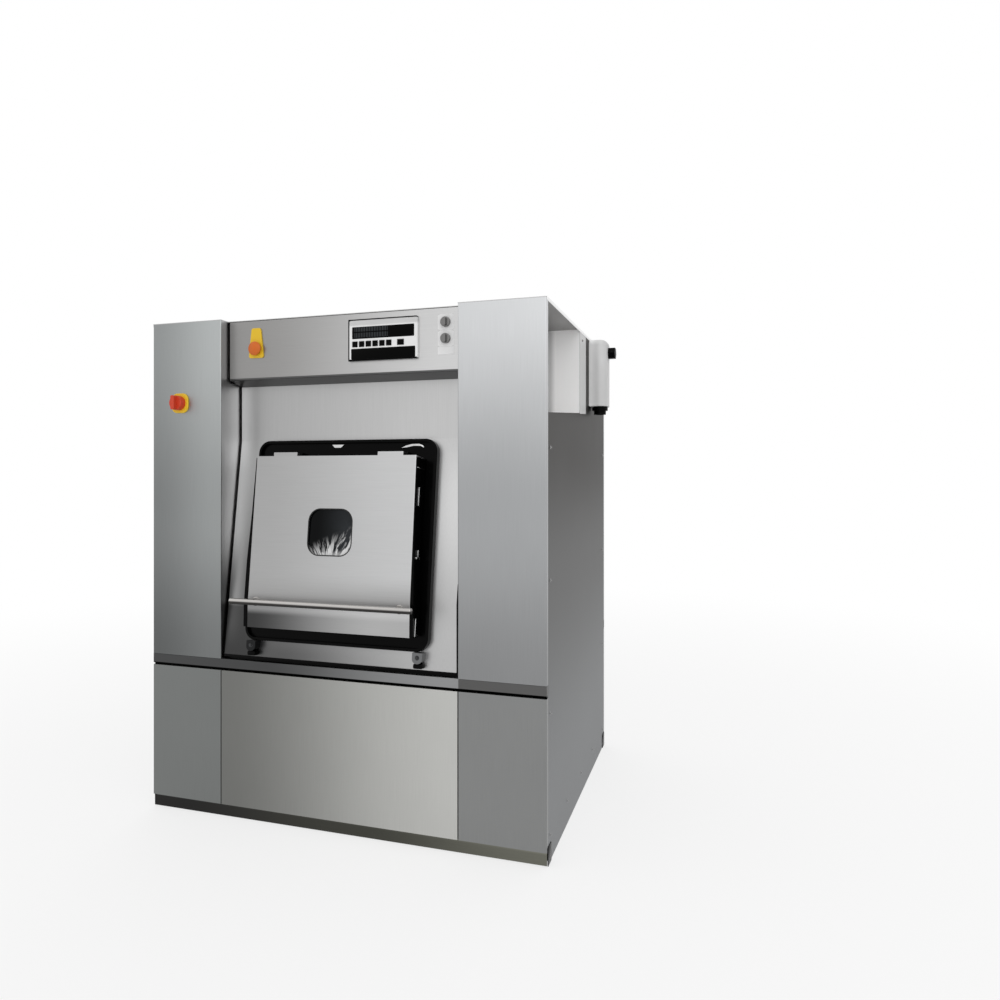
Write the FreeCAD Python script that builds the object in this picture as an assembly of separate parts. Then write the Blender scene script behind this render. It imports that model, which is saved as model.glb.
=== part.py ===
"""Barrier washing machine: a side-loading washer extractor with a door on each of its two long sides.

Millimetres, +Z up, origin on the floor under the middle of the machine. The unloading side looks to -Y.
"""
import FreeCAD
import Part
import math
import os
from FreeCAD import Vector

os.makedirs("parts", exist_ok=True)

# Cabinet
cabinet_width = 1590.0
cabinet_depth = 1200.0
cabinet_height = 1900.0
sheet = 2.0
bend_radius = 4.0
column_width = 314.0
column_outer_return = 20.0
column_inner_return = 150.0
shadow_gap = 8.0
top_sheet = 3.0
kick_height = 52.0
kick_recess = 12.0
kick_fold = 8.0
rail_drop = 423.0
rail_height = 44.0
rail_thickness = 14.0
rail_groove = 6.0
lintel_height = 226.0
lintel_recess = 45.0
lintel_return = 73.0
lintel_drip = 18.0
apron_foot_gap = 10.0
apron_knee_rise = 455.0
apron_flange = 24.0
apron_tuck = 20.0

# Drum line: the doors face it squarely on both sides
drum_axis_height = 985.0
apron_tilt = 7.5
apron_reach = 536.0

# Door set, sizes along the slope
frame_width = 742.0
frame_height = 756.0
frame_rise = 5.0
frame_land = 20.0
frame_corner = 46.0
frame_depth = 30.0
frame_channel_depth = 12.0
opening_width = 600.0
opening_height = 570.0
opening_corner = 60.0
seal_lip = 10.0
door_width = 650.0
door_top = 311.0
door_foot = 321.0
door_skin = 3.0
door_top_depth = 73.0
door_fold_depth = 61.0
door_foot_depth = 52.0
door_gap = 0.5
plug_depth = 18.0
plug_gap = 9.0
door_kick_height = 84.0
window_width = 176.0
window_height = 168.0
window_corner = 46.0
window_rise = 33.0
glass_inset = 12.0
drain_hole_spread = 400.0
drain_hole_radius = 4.0
glass_thickness = 6.0
handle_drop = 226.0
handle_length = 714.0
handle_radius = 11.0
handle_standoff = 58.0
handle_post_radius = 8.0
handle_post_inset = 70.0
hinge_spread = 430.0
hinge_length = 100.0
hinge_radius = 8.0
hinge_pin_radius = 5.0
hinge_ear = 12.0
hinge_rise = 9.0
hinge_reach = 34.0
hinge_tab_setback = 20.0
clamp_width = 38.0
clamp_depth = 34.0
clamp_spread = 673.0
clamp_corner = 18.0
running_gap = 0.3

# Tub and drum
drum_radius = 455.0
drum_length = 880.0
drum_wall = 3.0
drum_end_wall = 6.0
drum_door_width = 600.0
drum_door_half_angle = 36.0
flap_gap = 2.0
flap_meeting_gap = 8.0
flap_hinge_inset = 9.0
flap_knuckle_radius = 7.0
flap_pin_radius = 4.0
flap_knuckle_length = 60.0
flap_hinge_spread = 360.0
lifter_height = 90.0
lifter_width = 110.0
lifter_crest = 36.0
lifter_count = 3
lifter_pitch = 60.0
tub_gap = 30.0
tub_wall = 5.0
tub_end_gap = 30.0
neck_margin = 10.0

# Shaft, bearings and drive
shaft_radius = 55.0
shaft_flange_radius = 150.0
shaft_flange_thickness = 18.0
bearing_width = 60.0
bearing_radius = 104.0
bearing_base_width = 280.0
bearing_base_height = 32.0
bearing_offset = 96.0
bearing_seat = 118.0
pulley_radius = 300.0
pulley_width = 44.0
pulley_rim = 16.0
pulley_web = 12.0
pulley_hub_radius = 85.0
pulley_offset = 22.0
pulley_window_radius = 66.0
pulley_window_count = 6
motor_pulley_radius = 60.0
motor_shaft_radius = 21.0
motor_y = 250.0
motor_axis_height = 262.0
motor_radius = 112.0
motor_length = 270.0
motor_fin_inset = 54.0
motor_shaft_depth = 135.0
motor_face_gap = 20.0
motor_fin_count = 24
motor_fin_height = 8.0
motor_foot_height = 20.0
belt_thickness = 8.0

# Main frame
post_size = 60.0
base_beam_height = 100.0
floor_pad_width = 170.0
floor_pad_depth = 150.0
floor_pad_thickness = 15.0
anchor_hole_radius = 11.0
anchor_setback = 130.0
beam_height = 80.0
saddle_inset = 140.0
saddle_thickness = 30.0
saddle_width = 560.0

# Controls
panel_width = 270.0
panel_height = 145.0
panel_depth = 10.0
panel_corner = 6.0
panel_from_end = 292.0
panel_height_on_lintel = 126.0
panel_box_depth = 38.0
panel_box_margin = 12.0
display_width = 246.0
display_height = 44.0
display_depth = 2.0
display_rise = 26.0
band_width = 254.0
band_height = 39.0
band_drop = 50.5
key_count = 7
rear_key_count = 4
key_size = 20.0
key_pitch = 27.0
key_proud = 3.0
key_depth = 9.0
key_gap = 0.5
key_travel = 1.5
key_row_drop = 15.0
key_row_start = -111.0
big_key_x = 70.0
big_key_size = 25.0
rear_panel_drop = 337.0
isolator_inset = 129.0
isolator_drop = 312.0
isolator_plate_size = 76.0
isolator_plate_corner = 26.0
isolator_plate_depth = 6.0
isolator_stem_radius = 6.0
isolator_knob_radius = 28.0
isolator_knob_depth = 40.0
isolator_grip_width = 16.0
isolator_grip_depth = 16.0
stop_from_end = 120.0
stop_plate_width = 66.0
stop_plate_top_width = 40.0
stop_plate_height = 114.0
stop_plate_corner = 9.0
stop_plate_depth = 4.0
stop_rise = 26.0
stop_drop = 22.0
stop_head_radius = 26.0
stop_head_depth = 14.0
stop_dome_radius = 46.0
stop_travel = 4.0
stop_stem_radius = 12.0
stop_collar_wall = 8.0
stop_collar_depth = 2.0
switch_from_end = 53.0
switch_radius = 18.0
switch_stem_radius = 8.0
switch_grip_width = 10.0
switch_grip_length = 28.0
switch_depth = 10.0
switch_grip_depth = 10.0
switch_spacing = 58.0
switch_rise = 32.0

# Right side niche and dispenser
niche_rear_y = -20.0
niche_front_height = 381.0
niche_rear_height = 339.0
niche_depth = 195.0
dispenser_clearance = 205.0
dispenser_length = 120.0
dispenser_proud = 76.0
dispenser_drop = 4.0
dispenser_height = 288.0
dispenser_corner = 40.0
dispenser_lid_radius = 24.0
outlet_radius = 34.0
outlet_height = 34.0
spout_radius = 26.0
spout_wall = 8.0
dispenser_knob_radius = 26.0
dispenser_knob_depth = 30.0
dispenser_knob_inset = 60.0
dispenser_knob_drop = 56.0

# Left side services
service_reach = 85.0
inlet_count = 3
inlet_spacing = 110.0
inlet_radius = 24.0
inlet_y = 330.0
inlet_drop = 337.0
inlet_plate_margin = 50.0
inlet_plate_thickness = 5.0
valve_nut_radius = 34.0
valve_nut_length = 30.0
drain_radius = 55.0
drain_wall = 4.0
drain_elbow_radius = 80.0
drain_y = -120.0
drain_height = 210.0
valve_radius = 85.0
valve_height = 110.0
louvre_count = 9
louvre_length = 260.0
louvre_height = 12.0
louvre_corner = 5.7
louvre_pitch = 34.0
louvre_bottom = 180.0

# Derived places
half_width = cabinet_width / 2
front_y = -cabinet_depth / 2
column_inner_x = half_width - column_width
lower_panel_top = drum_axis_height - rail_drop
rail_top = lower_panel_top + rail_height
column_top = cabinet_height - top_sheet
lintel_bottom = column_top - lintel_height
lintel_y = front_y + lintel_recess
apron_half_width = column_inner_x - shadow_gap
apron_knee_height = drum_axis_height + apron_knee_rise
tilt = math.radians(apron_tilt)
door_back = apron_reach + frame_depth + door_gap
tub_radius = drum_radius + tub_gap
tub_outer_radius = tub_radius + tub_wall
tub_half_length = drum_length / 2 + tub_end_gap
bearing_x = tub_half_length + tub_wall + bearing_offset
pulley_x = -(bearing_x + bearing_width / 2 + pulley_offset + pulley_width / 2)
motor_face_x = pulley_x + pulley_width / 2 + motor_face_gap
flap_axis_radius = drum_radius - drum_wall - flap_hinge_inset
hinge_s = door_top + hinge_rise
hinge_n = apron_reach + frame_depth + hinge_reach
handle_n = door_back + door_fold_depth + handle_standoff
post_x = half_width - 2 * sheet - post_size / 2
post_y = -front_y - sheet - post_size / 2 - column_outer_return
base_top = floor_pad_thickness + base_beam_height
anchor_spacing_x = cabinet_width - 2 * anchor_setback
anchor_spacing_y = cabinet_depth - 2 * anchor_setback
saddle_spread = drum_length - 2 * saddle_inset
panel_x = apron_half_width - panel_from_end
panel_z = lintel_bottom + panel_height_on_lintel
rear_panel_x = column_width / 2 - half_width
rear_panel_z = column_top - rear_panel_drop
isolator_x = isolator_inset - half_width
isolator_z = column_top - isolator_drop
stop_x = stop_from_end - apron_half_width
stop_z = lintel_bottom + lintel_height / 2 + stop_rise
switch_x = apron_half_width - switch_from_end
switch_z = lintel_bottom + lintel_height / 2 + switch_rise
niche_front_floor = column_top - niche_front_height
niche_rear_floor = column_top - niche_rear_height
dispenser_y = niche_rear_y + dispenser_clearance
dispenser_bottom = column_top - dispenser_drop - dispenser_height
inlet_z = column_top - inlet_drop
dispenser_knob_y = dispenser_y + dispenser_length - dispenser_knob_inset
dispenser_knob_z = dispenser_bottom + dispenser_height - dispenser_knob_drop


# Small building blocks

def box(x0, x1, y0, y1, z0, z1):
    """Block between two corners."""
    return Part.makeBox(x1 - x0, y1 - y0, z1 - z0, Vector(x0, y0, z0))


def rod_x(x0, x1, y, z, radius):
    """Round bar along X."""
    return Part.makeCylinder(radius, x1 - x0, Vector(x0, y, z), Vector(1, 0, 0))


def rod_y(y0, y1, x, z, radius):
    """Round bar along Y."""
    return Part.makeCylinder(radius, y1 - y0, Vector(x, y0, z), Vector(0, 1, 0))


def rod_z(z0, z1, x, y, radius):
    """Round bar along Z."""
    return Part.makeCylinder(radius, z1 - z0, Vector(x, y, z0), Vector(0, 0, 1))


def prism_x(points, x0, x1):
    """Closed outline of (y, z) points pushed along X."""
    corners = [Vector(x0, y, z) for y, z in points]
    return Part.Face(Part.makePolygon(corners + corners[:1])).extrude(Vector(x1 - x0, 0, 0))


def straight_edges(shape, direction, keep=None):
    """Straight edges of a shape along a direction, all of them or those whose middle passes a test."""
    found = []
    for edge in shape.Edges:
        if not isinstance(edge.Curve, Part.Line):
            continue
        if edge.Curve.Direction.cross(direction).Length > 1e-6:
            continue
        if keep is None or keep(edge.CenterOfMass):
            found.append(edge)
    return found


def near(value, target):
    """Whether two coordinates are the same."""
    return abs(value - target) < 1e-4


def plate_y(width, height, corner, y0, y1, x=0.0, z=0.0):
    """Upright plate with four round corners between two Y planes, centred on x and z."""
    plate = box(x - width / 2, x + width / 2, y0, y1, z - height / 2, z + height / 2)
    return plate.makeFillet(corner, straight_edges(plate, Vector(0, 1, 0)))


def fuse(pieces):
    """One solid out of pieces that join."""
    return pieces[0].multiFuse(pieces[1:]).removeSplitter()


def mirrored(shape):
    """The same piece on the other side of the machine's middle plane."""
    return shape.mirror(Vector(0, 0, 0), Vector(1, 0, 0))


def turned(shape):
    """The same piece on the loading side, half a turn round the machine's middle."""
    copy = shape.copy()
    copy.rotate(Vector(0, 0, 0), Vector(0, 0, 1), 180)
    return copy


def on_slope(shape):
    """From a door's own upright frame, centred on the drum axis, to its tilted place at the front."""
    copy = shape.copy()
    copy.rotate(Vector(0, 0, 0), Vector(1, 0, 0), -apron_tilt)
    copy.translate(Vector(0, 0, drum_axis_height))
    return copy


def slope_y(z, depth=0.0):
    """Y of the apron's sloped face at a height, or of a plane that lies a depth behind it."""
    reach = apron_reach - depth
    return math.tan(tilt) * (z - drum_axis_height - reach * math.sin(tilt)) - reach * math.cos(tilt)


def slope_z(y, depth=0.0):
    """Height at which the apron's sloped face, or a plane behind it, passes a Y."""
    reach = apron_reach - depth
    return (y + reach * math.cos(tilt)) / math.tan(tilt) + drum_axis_height + reach * math.sin(tilt)


def save(name, *pieces):
    """Write one node: a single solid, or a group of like solids."""
    solids = [solid for piece in pieces for solid in piece.Solids]
    shape = solids[0] if len(solids) == 1 else Part.makeCompound(solids)
    shape.exportStep("parts/" + name + ".step")


# Cabinet

def column():
    """Right front column: a face with a short return outside and a deep one beside the apron."""
    back_y = front_y + column_inner_return
    block = box(column_inner_x, half_width, front_y, back_y, rail_top, column_top)
    hollow = box(column_inner_x + sheet, half_width - sheet, front_y + sheet, back_y, rail_top, column_top)
    outside = box(half_width - sheet, half_width, front_y + column_outer_return, back_y, rail_top, column_top)
    folded = block.cut(hollow).cut(outside)
    up = Vector(0, 0, 1)
    outer_bends = straight_edges(folded, up, lambda p: near(p.y, front_y))
    folded = folded.makeFillet(bend_radius, outer_bends)
    inner_bends = straight_edges(folded, up, lambda p: near(p.y, front_y + sheet))
    return folded.makeFillet(bend_radius - sheet, inner_bends)


def lintel():
    """Box-folded panel over the door bay, open at the back; its underside falls towards the apron."""
    back_y = lintel_y + lintel_return
    back_z = lintel_bottom - lintel_drip
    along = Vector(1, 0, 0)
    block = prism_x([(lintel_y, lintel_bottom), (lintel_y, column_top),
                     (back_y, column_top), (back_y, back_z)],
                    -apron_half_width, apron_half_width)
    hollow = prism_x([(lintel_y + sheet, lintel_bottom + sheet), (lintel_y + sheet, column_top - sheet),
                      (back_y, column_top - sheet), (back_y, back_z + sheet)],
                     -apron_half_width + sheet, apron_half_width - sheet)
    folded = block.cut(hollow)
    return folded.makeFillet(bend_radius, straight_edges(folded, along, lambda p: near(p.y, lintel_y)))


def apron():
    """Panel round the door: upright under the lintel, then sloping out to its foot above the rail."""
    foot = rail_top + apron_foot_gap
    top = lintel_bottom + apron_tuck
    knee_y = slope_y(apron_knee_height)

    def outline(front_depth, back_depth):
        front_knee_y = knee_y + front_depth
        back_knee_y = knee_y + back_depth
        return [(slope_y(foot, front_depth), foot), (front_knee_y, slope_z(front_knee_y, front_depth)),
                (front_knee_y, top), (back_knee_y, top), (back_knee_y, slope_z(back_knee_y, back_depth)),
                (slope_y(foot, back_depth), foot)]

    block = prism_x(outline(0.0, apron_flange), -apron_half_width, apron_half_width)
    hollow = prism_x(outline(sheet, 2 * apron_flange), -apron_half_width + sheet, apron_half_width - sheet)
    opening = plate_y(opening_width, opening_height, opening_corner,
                      -apron_reach - apron_flange, -apron_reach / 2)
    return block.cut(hollow).cut(on_slope(opening))


def tray(x0, x1, z0, z1):
    """Lower panel: a face with a return folded back on all four sides."""
    back_y = front_y + column_outer_return
    block = box(x0, x1, front_y, back_y, z0, z1)
    hollow = box(x0 + sheet, x1 - sheet, front_y + sheet, back_y, z0 + sheet, z1 - sheet)
    folded = block.cut(hollow)
    bends = straight_edges(folded, Vector(0, 0, 1), lambda p: near(p.y, front_y))
    return folded.makeFillet(bend_radius, bends)


def lower_panels():
    """Three trays side by side under the rail: one below each column and one below the apron."""
    seam = sheet / 2
    corner_tray = tray(column_inner_x + seam, half_width, kick_height, lower_panel_top)
    middle_tray = tray(-column_inner_x + seam, column_inner_x - seam, kick_height, lower_panel_top)
    return [mirrored(corner_tray), middle_tray, corner_tray]


def trim_rail():
    """Rail across the full width between lower panels and columns, with a shadow groove under its nose."""
    nose_y = front_y + sheet
    groove_y = nose_y + rail_thickness - rail_groove
    back_y = nose_y + rail_thickness
    nose_z = lower_panel_top + rail_groove
    points = [(nose_y, rail_top), (nose_y, nose_z), (groove_y, nose_z), (groove_y, lower_panel_top),
              (back_y, lower_panel_top), (back_y, rail_top)]
    bar = prism_x(points, -half_width, half_width)
    nose = straight_edges(bar, Vector(1, 0, 0), lambda p: near(p.y, nose_y))
    return bar.makeFillet(rail_groove / 2, nose)


def kick_plate():
    """Dark plate set back at the floor, with a folded top edge under the lower panels."""
    y0 = front_y + kick_recess
    floor_gap = bend_radius
    fold_bottom = kick_height - sheet
    points = [(y0, floor_gap), (y0, kick_height), (y0 + kick_fold, kick_height),
              (y0 + kick_fold, fold_bottom), (y0 + sheet, fold_bottom), (y0 + sheet, floor_gap)]
    return prism_x(points, -half_width + sheet, half_width - sheet)


def top_cover():
    """Top sheet, cut back over each door bay to the face of the lintel."""
    cover = box(-half_width, half_width, front_y, -front_y, column_top, cabinet_height)
    notch = box(-column_inner_x, column_inner_x, front_y, lintel_y, column_top, cabinet_height)
    return cover.cut(notch).cut(turned(notch))


def side_sheet():
    """Right side panel between the column returns, from the floor gap to the top sheet."""
    y1 = -front_y - column_outer_return
    return box(half_width - sheet, half_width, -y1, y1, bend_radius, column_top)


def right_side_panel():
    """Side sheet with the open service niche: a liner of floor, back and rear wall behind the cut-out."""
    front_edge = front_y + column_outer_return
    inner_x = half_width - niche_depth

    def niche_block(x0, x1, margin):
        rear_edge = niche_rear_y + margin
        points = [(front_edge, niche_front_floor - margin), (rear_edge, niche_rear_floor - margin),
                  (rear_edge, column_top), (front_edge, column_top)]
        return prism_x(points, x0, x1)

    cavity = niche_block(inner_x, half_width, 0.0)
    liner = niche_block(inner_x - sheet, half_width - sheet, sheet).cut(cavity)
    return fuse([side_sheet().cut(cavity), liner])


def left_side_panel():
    """Plain side sheet with a field of cooling slots beside the drive and holes for the services."""
    panel = mirrored(side_sheet())
    for index in range(louvre_count):
        slot_z = louvre_bottom + index * louvre_pitch
        slot = box(-half_width - sheet, -half_width + 2 * sheet, motor_y - louvre_length / 2,
                   motor_y + louvre_length / 2, slot_z, slot_z + louvre_height)
        slot = slot.makeFillet(louvre_corner, straight_edges(slot, Vector(1, 0, 0)))
        panel = panel.cut(slot)
    outside = -half_width - sheet
    inside = -half_width + 2 * sheet
    for y in inlet_places():
        panel = panel.cut(rod_x(outside, inside, y, inlet_z, inlet_radius + sheet))
    return panel.cut(rod_x(outside, inside, drain_y, drain_height, drain_radius + sheet))


def inlet_places():
    """Y of each water inlet on the left side."""
    first = inlet_y - inlet_spacing * (inlet_count - 1) / 2
    return [first + index * inlet_spacing for index in range(inlet_count)]


# Door set, drawn upright about the drum axis and then set on the slope

def door_frame():
    """Black frame on the apron: a rounded ring with a channel round the seat, and ears for the hinge pins."""
    seat = -apron_reach
    face = seat - frame_depth
    channel_floor = face + frame_channel_depth
    rim = 2 * seal_lip + sheet
    ring = plate_y(frame_width, frame_height, frame_corner, face, seat, z=frame_rise)
    ring = ring.makeFillet(seal_lip / 2, [e for e in ring.Edges if near(e.CenterOfMass.y, face)])
    channel = plate_y(frame_width - rim, frame_height - rim, frame_corner - rim / 2, face, channel_floor,
                      z=frame_rise)
    land = plate_y(opening_width + 2 * frame_land, opening_height + 2 * frame_land, opening_corner,
                   face, channel_floor)
    ring = ring.cut(channel.cut(land))
    ring = ring.cut(plate_y(opening_width, opening_height, opening_corner, face, seat))
    pieces = [ring]
    ear_offset = hinge_length / 2 + running_gap + hinge_ear / 2
    for hinge_x in (-hinge_spread / 2, hinge_spread / 2):
        for ear_x in (hinge_x - ear_offset, hinge_x + ear_offset):
            x0 = ear_x - hinge_ear / 2
            x1 = ear_x + hinge_ear / 2
            pieces.append(box(x0, x1, -hinge_n, channel_floor,
                              hinge_s - hinge_radius, hinge_s + hinge_radius))
            pieces.append(rod_x(x0, x1, -hinge_n, hinge_s, hinge_radius))
        pieces.append(rod_x(hinge_x - ear_offset, hinge_x + ear_offset, -hinge_n, hinge_s, hinge_pin_radius))
    return on_slope(fuse(pieces))


def door_outline(inset):
    """Side outline of the leaf, or of the hollow a skin inside it: a flat face over a folded foot."""
    foot = inset - door_foot
    top = door_top - inset
    back = -door_back - inset
    return [(back, foot), (back, top), (inset - door_back - door_top_depth, top),
            (inset - door_back - door_fold_depth, door_kick_height - door_foot),
            (inset - door_back - door_foot_depth, foot)]


def door_hollow():
    """Room between the door's two skins round the window's sleeve, with drain holes in the bottom edge."""
    half = door_width / 2 - door_skin
    inner_back = -door_back + plug_depth - door_skin
    inset = plug_gap + door_skin
    plug_room = plate_y(opening_width - 2 * inset, opening_height - 2 * inset, opening_corner - inset,
                        -door_back - 2 * door_skin, inner_back)
    sleeve = plate_y(window_width + 2 * door_skin, window_height + 2 * door_skin, window_corner + door_skin,
                     -door_back - door_top_depth, inner_back, z=window_rise)
    room = prism_x(door_outline(door_skin), -half, half).fuse(plug_room).cut(sleeve)
    for x in (-drain_hole_spread / 2, drain_hole_spread / 2):
        room = room.fuse(rod_z(-door_foot, door_skin - door_foot, x, -door_back - door_foot_depth / 2,
                               drain_hole_radius))
    return room


def door_body():
    """Upright leaf with its plug and hinge tabs, before the hollow and the window are cut."""
    leaf = prism_x(door_outline(0.0), -door_width / 2, door_width / 2)
    sides = [e for e in leaf.Edges if near(abs(e.CenterOfMass.x), door_width / 2)]
    sides = [e for e in sides if e.CenterOfMass.y < -door_back - door_foot_depth]
    leaf = leaf.makeFillet(bend_radius, sides)
    plug = plate_y(opening_width - 2 * plug_gap, opening_height - 2 * plug_gap, opening_corner - plug_gap,
                   -door_back, -door_back + plug_depth)
    pieces = [leaf, plug]
    tab_face = hinge_tab_setback - door_back - door_top_depth
    for hinge_x in (-hinge_spread / 2, hinge_spread / 2):
        x0 = hinge_x - hinge_length / 2
        x1 = hinge_x + hinge_length / 2
        pieces.append(rod_x(x0, x1, -hinge_n, hinge_s, hinge_radius))
        pieces.append(box(x0, x1, tab_face, -hinge_n, door_top - door_skin, hinge_s + hinge_radius))
    return fuse(pieces)


def door_leaf():
    """Double-skin door: a flat leaf with a folded foot, a plug that enters the frame, and two hinge tabs."""
    leaf = door_body().cut(door_hollow())
    for hinge_x in (-hinge_spread / 2, hinge_spread / 2):
        leaf = leaf.cut(rod_x(hinge_x - hinge_length, hinge_x + hinge_length, -hinge_n, hinge_s,
                              hinge_pin_radius + running_gap))
    window = plate_y(window_width, window_height, window_corner, -door_back - door_top_depth,
                     -door_back + plug_depth, z=window_rise)
    return on_slope(leaf.cut(window))


def door_window():
    """Toughened pane seated in the door's sleeve, a little behind its face."""
    pane_face = -door_back - door_top_depth + glass_inset
    return on_slope(plate_y(window_width - 2 * running_gap, window_height - 2 * running_gap, window_corner,
                            pane_face, pane_face + glass_thickness, z=window_rise))


def door_handle():
    """Round bar across the door on two posts with base rings that sit on the leaf's face."""
    half = handle_length / 2
    ring_y = -door_back - door_fold_depth - bend_radius
    bar = rod_x(-half, half, -handle_n, -handle_drop, handle_radius)
    ends = [e for e in bar.Edges if isinstance(e.Curve, Part.Circle)]
    pieces = [bar.makeFillet(handle_radius / 3, ends)]
    for x in (handle_post_inset - half, half - handle_post_inset):
        pieces.append(rod_y(-handle_n, -door_back - door_foot_depth, x, -handle_drop, handle_post_radius))
        pieces.append(rod_y(ring_y, -door_back - door_foot_depth, x, -handle_drop, 2 * handle_post_radius))
    return on_slope(fuse(pieces).cut(prism_x(door_outline(0.0), -door_width / 2, door_width / 2)))


def frame_clamps():
    """Two rounded clamp blocks on the apron, close under the frame."""
    blocks = []
    top = frame_rise - frame_height / 2 - sheet
    for x in (-clamp_spread / 2, clamp_spread / 2):
        block = box(x - clamp_width / 2, x + clamp_width / 2, -apron_reach - clamp_depth, -apron_reach,
                    top - clamp_width, top)
        feet = straight_edges(block, Vector(0, 1, 0), lambda p: near(p.z, top - clamp_width))
        blocks.append(on_slope(block.makeFillet(clamp_corner, feet)))
    return blocks


# Main frame

def base_frame():
    """Welded base: floor pads with anchor holes, beams, a motor plate and two saddles under the tub."""
    half_post = post_size / 2
    saddle_half = saddle_width / 2
    saddle_top = drum_axis_height - math.sqrt(tub_outer_radius ** 2 - saddle_half ** 2)
    pieces = []
    for side in (-1, 1):
        pad_x = side * anchor_spacing_x / 2
        for end in (-1, 1):
            pad_y = end * anchor_spacing_y / 2
            pad = box(pad_x - floor_pad_width / 2, pad_x + floor_pad_width / 2,
                      pad_y - floor_pad_depth / 2, pad_y + floor_pad_depth / 2, 0, floor_pad_thickness)
            pieces.append(pad.cut(rod_z(0, floor_pad_thickness, pad_x, pad_y, anchor_hole_radius)))
        for x in (side * post_x, side * saddle_spread / 2):
            pieces.append(box(x - half_post, x + half_post, -post_y - half_post, post_y + half_post,
                              floor_pad_thickness, base_top))
        x_saddle = side * saddle_spread / 2
        pieces.append(box(x_saddle - saddle_thickness / 2, x_saddle + saddle_thickness / 2,
                          -saddle_half, saddle_half, base_top, saddle_top))
    for y in (-post_y, post_y):
        pieces.append(box(-post_x, post_x, y - half_post, y + half_post, floor_pad_thickness, base_top))
    pieces.append(box(-post_x, -saddle_spread / 2, motor_y - motor_radius, motor_y + motor_radius,
                      base_top - post_size / 4, base_top))
    frame = fuse(pieces)
    frame = frame.cut(rod_x(-half_width, half_width, 0, drum_axis_height, tub_outer_radius + running_gap))
    return frame.cut(rod_x(-half_width, 0, drain_y, drain_height, drain_radius + bend_radius))


def side_portal():
    """Right side portal on the base: two posts, a top rail, and a bearing beam carried on stubs."""
    half_post = post_size / 2
    top = niche_front_floor - post_size / 2
    beam_top = drum_axis_height - bearing_seat
    beam_bottom = beam_top - beam_height
    inner_x = bearing_x - bearing_width / 2
    outer_x = post_x + half_post
    pieces = [box(post_x - half_post, outer_x, -post_y, post_y, top - half_post, top),
              box(inner_x, bearing_x + bearing_width / 2, -post_y, post_y, beam_bottom, beam_top)]
    for y in (-post_y, post_y):
        pieces.append(box(post_x - half_post, outer_x, y - half_post, y + half_post, base_top, top))
        pieces.append(box(inner_x, outer_x, y - half_post, y + half_post, beam_bottom, beam_top))
    return fuse(pieces)


# Tub and drum, drawn about the drum axis

def neck(width, height, reach):
    """Straight duct body from the drum axis out to a door."""
    return on_slope(plate_y(width, height, opening_corner, -reach, 0))


def tub():
    """Closed tub with a neck to each door, a shaft boss at each end and a drain hole at the bottom."""
    outer_length = tub_half_length + tub_wall
    neck_end = apron_reach - sheet - running_gap
    inner_width = opening_width + 2 * neck_margin
    inner_height = opening_height + 2 * neck_margin
    duct = neck(inner_width + 2 * tub_wall, inner_height + 2 * tub_wall, neck_end)
    passage = neck(inner_width, inner_height, neck_end)
    barrel = rod_x(-outer_length, outer_length, 0, drum_axis_height, tub_outer_radius)
    boss_radius = shaft_radius + 2 * seal_lip
    boss_end = outer_length + seal_lip
    bosses = rod_x(-boss_end, boss_end, 0, drum_axis_height, boss_radius)
    body = fuse([barrel, duct, turned(duct), bosses])
    body = body.cut(rod_x(-tub_half_length, tub_half_length, 0, drum_axis_height, tub_radius))
    body = body.cut(passage).cut(turned(passage))
    body = body.cut(rod_x(-boss_end, boss_end, 0, drum_axis_height, shaft_radius + running_gap))
    return body.cut(rod_z(0, drum_axis_height, 0, drain_y, drain_radius - drain_wall))


def sector(angle_from, angle_to, x_half):
    """Wedge round the drum axis between two angles, counted upwards from the door's direction."""
    far = 2 * drum_radius
    points = [(0.0, 0.0)]
    for angle in (angle_from, angle_to):
        points.append((-far * math.cos(math.radians(angle)), far * math.sin(math.radians(angle))))
    return prism_x(points, -x_half, x_half)


def at_angle(shape, angle):
    """A piece drawn at the door's direction, turned upwards round the drum axis."""
    copy = shape.copy()
    copy.rotate(Vector(0, 0, 0), Vector(1, 0, 0), -angle)
    return copy


def below(shape):
    """The same piece mirrored to the lower half of the drum door."""
    return shape.mirror(Vector(0, 0, 0), Vector(0, 0, 1))


def lifter():
    """Tapered rib along the drum that lifts the load, drawn at the door's direction."""
    wall_middle = drum_radius - drum_wall / 2
    crest_y = -(drum_radius - drum_wall - lifter_height)
    length = drum_length / 2 - drum_end_wall / 2
    points = [(-drum_radius, -lifter_width / 2), (-drum_radius, lifter_width / 2),
              (crest_y, lifter_crest / 2), (crest_y, -lifter_crest / 2)]
    rib = prism_x(points, -length, length)
    rib = rib.makeFillet(lifter_crest / 3, straight_edges(rib, Vector(1, 0, 0), lambda p: near(p.y, crest_y)))
    return rib.common(rod_x(-length, length, 0, 0, wall_middle))


def flap_hinge_places():
    """X of the two hinges on each drum flap."""
    return (-flap_hinge_spread / 2, flap_hinge_spread / 2)


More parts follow.
